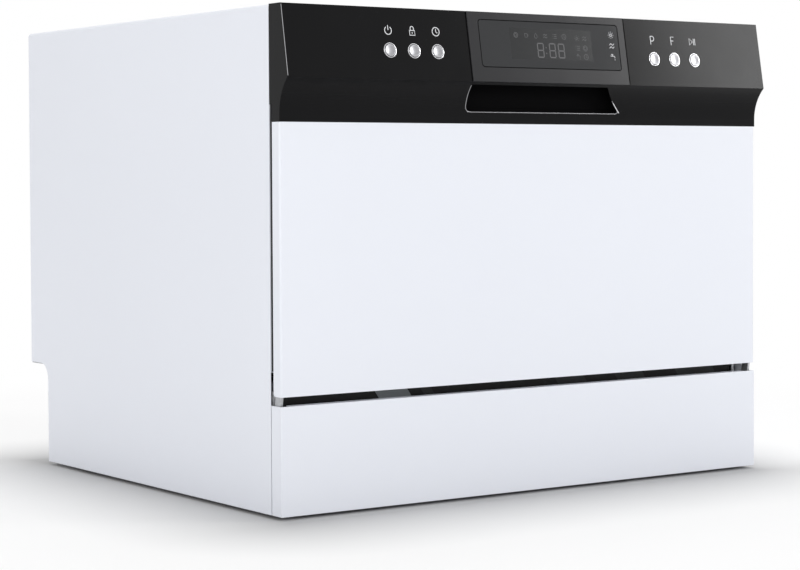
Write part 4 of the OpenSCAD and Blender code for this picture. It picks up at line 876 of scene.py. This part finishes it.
class DISHWASHER_OT_rack(bpy.types.Operator):
    """Bend and weld the rack: long and cross wires with upturned ends, and loops round its walls"""
    bl_idname = "dishwasher.rack"
    bl_label = "Rack wires"

    def execute(self, context):
        radius = sizes().wire_radius / MM
        parts = []
        for x in np.linspace(-RACK_HALF, RACK_HALF, 11):
            parts.append(tube([(x, RACK_FRONT_TOP, RACK_TOP), (x, RACK_FRONT_LOW, RACK_FLOOR),
                               (x, RACK_REAR, RACK_FLOOR), (x, RACK_REAR, RACK_TOP)], radius, SIDE_X, 9))
        low = RACK_FLOOR - WIRE_LAY
        for y in np.linspace(RACK_FRONT_LOW + 4, RACK_REAR - 4, 8):
            parts.append(tube([(-RACK_HALF, y, RACK_TOP), (-RACK_HALF, y, low), (RACK_HALF, y, low),
                               (RACK_HALF, y, RACK_TOP)], radius, SIDE_Y, 9))
        for share in (0.5, 1.0):
            z = RACK_FLOOR + share * (RACK_TOP - RACK_FLOOR)
            front = RACK_FRONT_LOW + share * (RACK_FRONT_TOP - RACK_FRONT_LOW) - WIRE_LAY
            out, rear = RACK_HALF + WIRE_LAY, RACK_REAR - WIRE_LAY
            parts.append(tube([(-out, front, z), (out, front, z), (out, rear, z), (-out, rear, z)],
                              radius, SIDE_Z, 7, closed=True))
        made = built("rack_wires", parts, "coated_wire", "rack")
        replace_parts(made, "rack_floor", "rack_ends", "rack_sides")
        pitch, lean, tall = 30, 6, 58
        starts = [(x, RACK_FRONT_LOW + pitch * k, RACK_FLOOR) for x in (-120, -40) for k in range(1, 9)]
        ends = [(x, y + lean, z + tall) for x, y, z in starts]
        tines = rods(np.array(starts) * MM, np.array(ends) * MM, radius * MM)
        made = built("tines", [tines], "coated_wire", "rack")
        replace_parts(made, "plate_tines")
        return {"FINISHED"}


class DISHWASHER_OT_shelf(bpy.types.Operator):
    """Lay the cup shelf's straight wires"""
    bl_idname = "dishwasher.shelf"
    bl_label = "Cup shelf"

    def execute(self, context):
        radius = sizes().wire_radius / MM
        x, z, reach, front, rear, pitch = -196.3, RACK_TOP - 22, 86.0, -60, 110, 27
        fingers = range(front + 4, rear, pitch)
        starts = [(x, front, z)] + [(x, y, z) for y in fingers]
        ends = [(x, rear, z)] + [(x + reach, y, z) for y in fingers]
        for across in (reach / 2, reach):
            starts.append((x + across, front, z - WIRE_LAY))
            ends.append((x + across, rear, z - WIRE_LAY))
        made = built("shelf_wires", [rods(np.array(starts) * MM, np.array(ends) * MM, radius * MM)],
                     "coated_wire", "cup_shelf")
        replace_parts(made, "cup_shelf")
        return {"FINISHED"}


class DISHWASHER_OT_basket(bpy.types.Operator):
    """Mould the cutlery basket: rims, posts, lattice walls, a grid floor and a bent handle"""
    bl_idname = "dishwasher.basket"
    bl_label = "Cutlery basket"

    def execute(self, context):
        wide, deep, tall = 88.0, 118.0, 108.0
        lows, highs = [], []

        def bar(low, high):
            lows.append(low)
            highs.append(high)

        for y in (0, 58, 116):
            for z0, z1 in ((0, 9), (99, tall)):
                bar((0, y, z0), (wide, y + 2, z1))
            for x in np.linspace(5, wide - 7.2, 10):
                bar((x, y + 0.2, 8), (x + 2.2, y + 1.8, 100))
            for z in np.linspace(19, 88, 7):
                bar((0.4, y + 0.35, z), (wide - 0.4, y + 1.65, z + 2))
        for x in (0, 43, 86):
            for z0, z1 in ((0.1, 8.9), (99.1, tall - 0.1)):
                bar((x, 0.1, z0), (x + 2, deep - 0.1, z1))
            for y in np.linspace(5, deep - 7.2, 13):
                bar((x + 0.2, y, 8), (x + 1.8, y + 2.2, 100))
            for z in np.linspace(19, 88, 7):
                bar((x + 0.35, 0.5, z), (x + 1.65, deep - 0.5, z + 2))
        for y in np.linspace(6, deep - 8, 13):
            bar((0.5, y, 0.3), (wide - 0.5, y + 2.2, 1.9))
        for x in np.linspace(6, wide - 8, 10):
            bar((x, 0.5, 0.5), (x + 2.2, deep - 0.5, 1.7))
        for x in (0.05, wide - 4.05):
            for y in (0.05, deep - 4.05):
                bar((x, y, 0.05), (x + 4, y + 4, tall - 0.05))
        corner = np.array([100.0, -112.018, 163.9])
        points, faces = boxes(np.array(lows) + corner, np.array(highs) + corner)
        grip = np.array([(44, 1, 101), (44, 1, 132), (44, 117, 132), (44, 117, 101)]) + corner
        profile = np.array([(-8, -0.5), (-7.5, -1), (7.5, -1), (8, -0.5),
                            (8, 0.5), (7.5, 1), (-7.5, 1), (-8, 0.5)])
        handle = swept(rounded_path(grip, 9, 8) * MM, SIDE_X, profile * MM)
        made = built("basket_lattice", [(points, faces), handle], "grey_plastic", "cutlery_basket",
                     smooth=False)
        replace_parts(rounded_off(made, 0.25 * MM, 1), "cutlery_basket")
        return {"FINISHED"}


class DISHWASHER_OT_rollers(bpy.types.Operator):
    """Turn the rack's rollers, dished on one side"""
    bl_idname = "dishwasher.rollers"
    bl_label = "Rollers"

    def execute(self, context):
        bore = [(14, 3.1), (0, 3.1), (0, 4.8), (0.3, 5.1), (2, 5.2)]
        tyre = np.array([(2, -2.3), (0.3, -2), (0, -1.7), (0.1, -0.8), (0.8, -0.1), (1.2, 0),
                         (12.8, 0), (13.3, -0.15), (13.9, -0.9), (14, -1.6)])
        for node, radius, y, z in (("front_rollers", 9.0, -173.818, 203.0),
                                   ("rear_rollers", 12.0, 140.0, 209.3)):
            profile = np.concatenate([bore[1:], tyre + (0, radius), bore[:1]])
            made = built(node + "_turned", [turned(profile, (side * 216, y, z), (side, 0, 0), 56)
                                            for side in (-1, 1)], "light_plastic", node)
            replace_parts(made, node)
        return {"FINISHED"}


class DISHWASHER_OT_gasket(bpy.types.Operator):
    """Carry the door gasket's bulb and fins round the tub's mouth"""
    bl_idname = "dishwasher.gasket"
    bl_label = "Gasket"

    def execute(self, context):
        bend = np.radians(np.linspace(-50, 50, 11))
        bulb = np.stack([-0.2 - 2.1 * np.cos(bend), 2.1 * np.sin(bend) / math.sin(bend[-1])], 1)
        profile = np.concatenate([[(2.3, -4.6), (1.3, -5), (0.5, -4.3), (0.4, -2.7)], bulb,
                                  [(0.4, 2.7), (0.5, 4.3), (1.3, 5), (2.3, 4.6)]])
        half, y, foot, head = 241, -220.17, 126, 418
        corners = np.array([(-half, y, foot), (-half, y, head), (half, y, head), (half, y, foot)])
        path = rounded_path(corners, 24, 14) * MM
        made = built("gasket_bulb", [swept(path, SIDE_Y, profile * MM)], "gasket", "cabinet")
        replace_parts(made, "tub_gasket")
        return {"FINISHED"}


class DISHWASHER_OT_heater(bpy.types.Operator):
    """Bend the heater: a ring over the floor whose ends turn down, with its two clamped feet"""
    bl_idname = "dishwasher.heater"
    bl_label = "Heater"

    def execute(self, context):
        radius, height, drop, steps = 150, 130.0, 30, 76
        angle = np.radians(np.linspace(30, 255, steps))
        loop = np.stack([radius * np.cos(angle), radius * np.sin(angle), np.full(steps, height)], 1)
        feet = loop[[0, -1]] - (0, 0, drop)
        path = rounded_path(np.concatenate([feet[:1], loop, feet[1:]]), 5, 6)
        side = path * (1, 1, 0)
        side /= np.linalg.norm(side, axis=1, keepdims=True)
        parts = [swept(path * MM, side, circle_profile(3.25 * MM, 18))]
        for foot in feet:
            for z0, z1, r, sides in ((113.2, 120.8, 8.0, 6), (122.1, 123.6, 7.4, 40)):
                nut = [(z0, 3.3), (z0, r - 0.5), (z0 + 0.5, r), (z1 - 0.5, r), (z1, r - 0.5), (z1, 3.3)]
                parts.append(turned(nut, (foot[0], foot[1], 0), SIDE_Z, sides))
        made = built("heater_tube", parts, "stainless", "cabinet")
        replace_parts(made, "heater")
        return {"FINISHED"}


# The edge radius in millimetres of each solid that only needs its edges rounded.
TUB_EDGES = {"tub_wrap": 0.3, "tub_back": 0.3, "tub_floor_pan": 0.3, "door_liner": 0.4, "rack_runners": 0.3,
             "rack_rails": 0.3, "dispenser_body": 0.6, "dispenser_lid": 0.5, "rinse_cap": 0.5,
             "spray_arm": 2.0, "spray_support": 0.4, "flat_filter": 0.3, "coarse_filter": 0.4,
             "overflow_float": 1.2,
             "door_seal_strip": 0.3}
BASE_EDGES = {"hinge_brackets": 0.3, "hinge_pins": 0.3, "hinge_arms": 0.3, "latch_strike": 0.3,
              "latch_housing": 0.5, "latch_plunger": 0.3, "sump": 0.5, "water_breather": 1.0,
              "float_switch": 0.6, "control_box": 1.2, "control_board": 0.2, "rubber_feet": 0.6}


def soften_all(edges):
    """Rounds each node's edges, in three steps where they are wider than 0.4 mm and in two elsewhere."""
    for node, edge in edges.items():
        softened(node, edge * MM, 3 if edge > 0.4 else 2)


class DISHWASHER_OT_tub(bpy.types.Operator):
    """Round the edges of the tub, the door's inner side and what hangs in them"""
    bl_idname = "dishwasher.tub"
    bl_label = "Tub and liner"

    def execute(self, context):
        soften_all(TUB_EDGES)
        return {"FINISHED"}


class DISHWASHER_OT_base(bpy.types.Operator):
    """Round the edges of the hinges, the latch, the pumps and the other parts in the base"""
    bl_idname = "dishwasher.base"
    bl_label = "Base and hinges"

    def execute(self, context):
        soften_all(BASE_EDGES)
        return {"FINISHED"}


def ridges(start, end, count, low, high, back=0.5):
    """A profile of ridges from start to end: each climbs from low to high over a share back of its length and
    falls again over the rest."""
    steps = np.arange(count)
    pitch = (end - start) / count
    feet = np.stack([start + steps * pitch, np.full(count, low)], 1)
    tops = np.stack([start + (steps + back) * pitch, np.full(count, high)], 1)
    return np.concatenate([np.stack([feet, tops], 1).reshape(-1, 2), [(end, low)]])


class DISHWASHER_OT_connections(bpy.types.Operator):
    """Turn the threaded water inlet, the barbed drain outlet and the cord's grommet at the back"""
    bl_idname = "dishwasher.connections"
    bl_label = "Hose connections"

    def execute(self, context):
        at, floor_side = (-180.0, 0, 55.0), (-180, 183, 0)
        thread = ridges(217, 237, 11, 12.3, 13.15)
        spigot = [(214.8, 9.1), (214.8, 13), *thread, (237.9, 12.2), (238, 11.8), (238, 9.2), (237.6, 8.9)]
        nut = [(212.05, 9.2), (212.05, 17.6), (212.5, 18.2), (214.4, 18.2), (214.95, 17.5), (214.95, 9.2)]
        parts = [turned(spigot, at, SIDE_Y, 64),
                 turned(nut, at, SIDE_Y, 8),
                 turned([(182, 0), (182, 12.1), (211.9, 12.1), (211.9, 9), (204, 9), (204, 0)], at, SIDE_Y),
                 turned([(73, 0), (73, 11), (74.5, 11), (74.5, 9.6), (96, 9.6), (96, 11), (98.4, 11),
                         (99, 10.4), (99, 0)], floor_side, SIDE_Z, 40),
                 turned([(11.5, 0), (11.5, 6), (37, 6), (37, 0)], floor_side, SIDE_Z, 32),
                 boxes([(-198, 168, 37), (-183, 171, 73.05)], [(-162, 198, 73), (-177, 195, 76)])]
        made = built("inlet_valve_turned", parts, "light_plastic", "cabinet")
        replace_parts(rounded_off(made, 0.4 * MM), "inlet_valve")
        at = (120.0, 0, 52.0)
        barbs = ridges(217, 239.5, 5, 9.3, 10.45, 0.75)
        outlet = [(160, 6.6), (160, 7.9), (214.8, 7.9), (214.8, 9.3), *barbs,
                  (240, 8.6), (240, 6.9), (239.6, 6.6)]
        flange = [(212.1, 8.1), (212.1, 14), (212.5, 14.4), (214.6, 14.4), (214.95, 14), (214.95, 8.1)]
        motor = [(-44, 0), (-44, 22), (-42.5, 23.8), (-40, 24), (-38, 24), (-37.5, 22.8), (-12, 22.8),
                 (-11.5, 24), (-3, 24), (-1, 22.5), (-0.2, 20), (-0.2, 0)]
        parts = [turned(outlet, at, SIDE_Y, 56),
                 turned(flange, at, SIDE_Y),
                 turned(motor, at, SIDE_Y, 56),
                 turned([(-61, 0), (-61, 9), (-44.2, 9), (-44.2, 0)], at, SIDE_Y, 40),
                 turned([(-0.4, 0), (-0.4, 8), (161, 8), (161, 0)], at, SIDE_Y, 40),
                 boxes([(106, -37, 11.5)], [(134, -5, 34)])]
        made = built("drain_pump_turned", parts, "dark_plastic", "cabinet")
        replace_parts(rounded_off(made, 0.3 * MM), "drain_pump")
        sleeve = ridges(215.4, 225.8, 6, 5.6, 6.45, 0.6)
        grommet = [(207.6, 3.7), (207.6, 12), (210.3, 12), (210.5, 8.95), (212, 8.95), (212.2, 12),
                   (214.6, 12), (215, 11), (215.1, 6.5), *sleeve, (226, 5.2), (226, 3.9), (225.7, 3.7)]
        made = built("grommet_turned", [turned(grommet, (-60.0, 0, 55.0), SIDE_Y)], "rubber", "cabinet")
        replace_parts(made, "cord_grommet")
        return {"FINISHED"}


class DISHWASHER_OT_pump(bpy.types.Operator):
    """Turn the wash pump: a scroll housing, a finned motor and its cradle"""
    bl_idname = "dishwasher.pump"
    bl_label = "Wash pump"

    def execute(self, context):
        at = (0.0, -110.018, 60.0)
        fins = ridges(-80, -30, 14, 27.5, 29.8)
        motor = [(-92, 0), (-92, 25), (-91, 27.5), (-88, 29.8), (-82, 29.8), *fins, (-28, 29.8), (-14, 29.8),
                 (-12.1, 28.5), (-12.1, 0)]
        parts = [turned(motor, at, SIDE_X, 64),
                 turned([(-100, 0), (-100, 11), (-99, 12), (-92.1, 12), (-92.1, 0)], at, SIDE_X, 40),
                 turned([(-12, 0), (-12, 30.5), (-10.5, 32), (10.5, 32), (12, 30.5), (12, 0)],
                        at, SIDE_X, 64),
                 turned([(12.1, 0), (12.1, 12), (65.5, 12), (65.5, 0)], at, SIDE_X, 40),
                 turned([(30, 12.05), (30, 13.6), (38, 13.6), (38, 12.05)], at, SIDE_X, 40),
                 boxes([(-85, -132, 11.5), (-33, -132, 11.5)], [(-75, -88, 38), (-23, -88, 38)]),
                 turned([(-110, 0), (-110, 10), (-13.5, 10), (-13.5, 0)], (0, 0, 80), SIDE_Y, 40)]
        made = built("wash_pump_turned", parts, "pump_metal", "cabinet")
        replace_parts(rounded_off(made, 0.4 * MM), "wash_pump")
        return {"FINISHED"}


class DISHWASHER_OT_screws(bpy.types.Operator):
    """Fill the rear panel's screw holes; each head's crossed recess is painted on its face as thin dark boxes
    of painted shade
    """
    bl_idname = "dishwasher.screws"
    bl_label = "Rear screws"

    def execute(self, context):
        parts, marks = [], []
        for x in (-262.0, -75.0, 75.0, 262.0):
            for z in (122.0, 418.0):
                parts.append(turned([(247.5, 0), (247.5, 1.9), (249.7, 1.9), (249.9, 1.6), (249.94, 0)],
                                    (x, 0, z), SIDE_Y, 32))
                marks += [(x - 1.2, 249.85, z - 0.2), (x - 0.2, 249.86, z - 1.2)]
        long, short, face = 2.4, 0.4, 249.98
        ends = [(x + across, face, z + up)
                for (x, _, z), (across, up) in zip(marks, [(long, short), (short, long)] * (len(marks) // 2))]
        built("rear_screws", parts, "galvanised", "cabinet")
        # Painted shade: dark boxes on each head stand in for the shadow in its recess.
        built("screw_recesses", [boxes(marks, ends)], "seam_dark", "cabinet", smooth=False)
        return {"FINISHED"}


class DISHWASHER_OT_studio(bpy.types.Operator):
    """Set up the floor, the soft light, the background and the camera"""
    bl_idname = "dishwasher.studio"
    bl_label = "Studio"

    def execute(self, context):
        setting = studio()
        make_floor(setting.floor_size)
        make_backdrop(setting)
        for name, place, target, size, power in SOFTBOXES:
            add_softbox(name, place, target, size, power)
        make_camera(setting)
        context.scene.view_settings.view_transform = "Standard"
        return {"FINISHED"}


# Each softbox: name, place, what it points at, size, and power in watts.
SOFTBOXES = (
    ("overhead_softbox", (0.7, 1.0, 3.2), (0, 0, 0.2), (2.2, 2.2), 44.0),
    ("left_softbox", (-3.0, -1.9, 0.9), (0, 0, 0.25), (1.6, 1.6), 34.0),
    ("front_softbox", (-0.6, -3.6, 1.6), (0, 0, 0.2), (2.0, 1.6), 8.5),
    ("console_softbox", (2.75, -2.35, 1.35), (0.15, -0.25, 0.4), (0.75, 1.2), 30.0),
)


def add_softbox(name, place, target, size, power):
    """A rectangular lamp at a place, turned towards its target."""
    lamp = bpy.data.lights.new(name, "AREA")
    lamp.shape = "RECTANGLE"
    lamp.size, lamp.size_y = size
    lamp.energy = power
    holder = bpy.data.objects.new(name, lamp)
    bpy.context.scene.collection.objects.link(holder)
    holder.location = place
    holder.rotation_euler = (Vector(target) - Vector(place)).to_track_quat("-Z", "Y").to_euler()


def seen_rays(tree):
    """1 for what the camera sees straight, in gloss or through glass, and 0 for the light on a surface."""
    path = added(tree, "LightPath", {}).outputs
    either = math_node(tree, "MAXIMUM", path["Is Camera Ray"], path["Is Glossy Ray"])
    return math_node(tree, "MAXIMUM", either, path["Is Transmission Ray"])


def contact_shade(tree, half_x, half_y, reach):
    """The mask of the floor's painted shadow: 0 beside the cabinet's foot, rising smoothly to 1 at a distance
    of reach: the distance from a rectangle is the length of how far the point lies outside it along X and
    along Y. Fine noise breaks the edge."""
    place = added(tree, "SeparateXYZ", {0: object_coords(tree)}).outputs
    outside = {axis: math_node(tree, "MAXIMUM", math_node(
        tree, "SUBTRACT", math_node(tree, "ABSOLUTE", place[axis]), half), 0.0)
        for axis, half in (("X", half_x), ("Y", half_y))}
    away = added(tree, "CombineXYZ", outside).outputs[0]
    far = added(tree, "VectorMath", {0: away}, operation="LENGTH").outputs["Value"]
    distance = math_node(tree, "ADD", far, math_node(tree, "MULTIPLY", noise(tree, 9, 2), 0.01))
    share = math_node(tree, "MINIMUM", math_node(tree, "DIVIDE", distance, reach), 1.0)
    return math_node(tree, "POWER", share, 0.45)


# FLOOR_SHADED is the colour of the floor's painted shadow beside the cabinet's foot.
FLOOR_PALE, FLOOR_SHADED = (0.93, 0.93, 0.93), (0.44, 0.44, 0.445)


def make_floor(side):
    """A flat pale floor under the feet. Its colour carries a painted shadow beside the cabinet's foot; it is
    a little lighter to the camera than its paint, and white to the camera further out."""
    steps = np.linspace(-side / 2, side / 2, 9)
    x, y = np.meshgrid(steps, steps, indexing="ij")
    points = np.stack([x.ravel(), y.ravel(), np.full(x.size, CAD_BOX[0][2])], 1)
    mesh = bpy.data.meshes.new("studio_floor")
    mesh.from_pydata(points.tolist(), [], grid_faces(9, 9).tolist())
    floor = bpy.data.objects.new("studio_floor", mesh)
    bpy.context.scene.collection.objects.link(floor)
    material, shader, tree = new_finish("floor_paper", FLOOR_PALE, 0.9, specular=0.1)
    share = contact_shade(tree, 0.275, 0.25, 0.17)
    tree.links.new(shades(tree, share, FLOOR_SHADED, FLOOR_PALE), shader.inputs["Base Color"])
    far = added(tree, "VectorMath", {0: object_coords(tree)}, operation="LENGTH").outputs["Value"]
    fade = added(tree, "MapRange", {"From Min": 0.45, "From Max": 1.1, "Value": far},
                 interpolation_type="SMOOTHSTEP").outputs["Result"]
    lift = math_node(tree, "MULTIPLY", math_node(tree, "POWER", share, 3.0), 0.55)
    white = math_node(tree, "MULTIPLY", math_node(tree, "MAXIMUM", fade, lift), seen_rays(tree))
    glow = added(tree, "Emission", {}).outputs[0]
    blend = added(tree, "MixShader", {0: white, 1: shader.outputs[0], 2: glow}).outputs[0]
    tree.links.new(blend, tree.nodes["Material Output"].inputs["Surface"])
    floor.data.materials.append(material)


def make_backdrop(setting):
    """A world that is white to the camera, gloss and glass, and an even soft fill to everything else."""
    world = bpy.data.worlds.new("studio_world")
    bpy.context.scene.world = world
    world.use_nodes = True
    tree = world.node_tree
    sky = tree.nodes["Background"]
    sky.inputs["Color"].default_value = (1, 1, 1, 1)
    tree.links.new(spread(tree, seen_rays(tree), setting.fill, setting.backdrop), sky.inputs["Strength"])


def make_camera(setting):
    """The photograph's view: right, up and back vectors from yaw, pitch and roll."""
    lens = bpy.data.cameras.new("photo_camera")
    lens.sensor_width = 36
    lens.lens = setting.lens
    lens.shift_y = setting.shift_y
    lens.clip_end = 100
    yaw, pitch, roll = setting.yaw, setting.pitch, setting.roll
    ahead = Vector((math.sin(yaw) * math.cos(pitch), math.cos(yaw) * math.cos(pitch), math.sin(pitch)))
    right = Vector((math.cos(yaw), -math.sin(yaw), 0))
    up = right.cross(ahead)
    right, up = (math.cos(roll) * right + math.sin(roll) * up, -math.sin(roll) * right + math.cos(roll) * up)
    camera = bpy.data.objects.new("photo_camera", lens)
    bpy.context.scene.collection.objects.link(camera)
    camera.matrix_world = Matrix((
        (right.x, up.x, -ahead.x, setting.camera_at[0]),
        (right.y, up.y, -ahead.y, setting.camera_at[1]),
        (right.z, up.z, -ahead.z, setting.camera_at[2]),
        (0, 0, 0, 1)))
    bpy.context.scene.camera = camera


OPERATORS = (
    DISHWASHER_OT_finishes, DISHWASHER_OT_cabinet, DISHWASHER_OT_console, DISHWASHER_OT_buttons,
    DISHWASHER_OT_signs, DISHWASHER_OT_digits, DISHWASHER_OT_rack, DISHWASHER_OT_shelf,
    DISHWASHER_OT_basket, DISHWASHER_OT_rollers, DISHWASHER_OT_gasket, DISHWASHER_OT_heater,
    DISHWASHER_OT_tub, DISHWASHER_OT_base, DISHWASHER_OT_connections, DISHWASHER_OT_pump,
    DISHWASHER_OT_screws, DISHWASHER_OT_studio,
)


class DISHWASHER_PT_pieces(bpy.types.Panel):
    """The dishwasher's sizes, colours, studio and pieces"""
    bl_idname = "DISHWASHER_PT_pieces"
    bl_label = "Dishwasher"
    bl_space_type = "VIEW_3D"
    bl_region_type = "UI"
    bl_category = "Dishwasher"

    def draw(self, context):
        scene = context.scene
        for group in (scene.dishwasher_sizes, scene.dishwasher_colours, scene.dishwasher_studio):
            box = self.layout.box()
            for name in group.__annotations__:
                box.prop(group, name)
        for operator in OPERATORS:
            self.layout.operator(operator.bl_idname)


CLASSES = (DishwasherSizes, DishwasherColours, StudioSettings) + OPERATORS + (DISHWASHER_PT_pieces,)


def register():
    for item in CLASSES:
        bpy.utils.register_class(item)
    bpy.types.Scene.dishwasher_sizes = PointerProperty(type=DishwasherSizes)
    bpy.types.Scene.dishwasher_colours = PointerProperty(type=DishwasherColours)
    bpy.types.Scene.dishwasher_studio = PointerProperty(type=StudioSettings)


def unregister():
    for name in ("dishwasher_sizes", "dishwasher_colours", "dishwasher_studio"):
        delattr(bpy.types.Scene, name)
    for item in reversed(CLASSES):
        bpy.utils.unregister_class(item)


def main():
    """Makes every piece in order."""
    register()
    for operator in OPERATORS:
        group, name = operator.bl_idname.split(".")
        getattr(getattr(bpy.ops, group), name)()


if __name__ == "__main__":
    main()
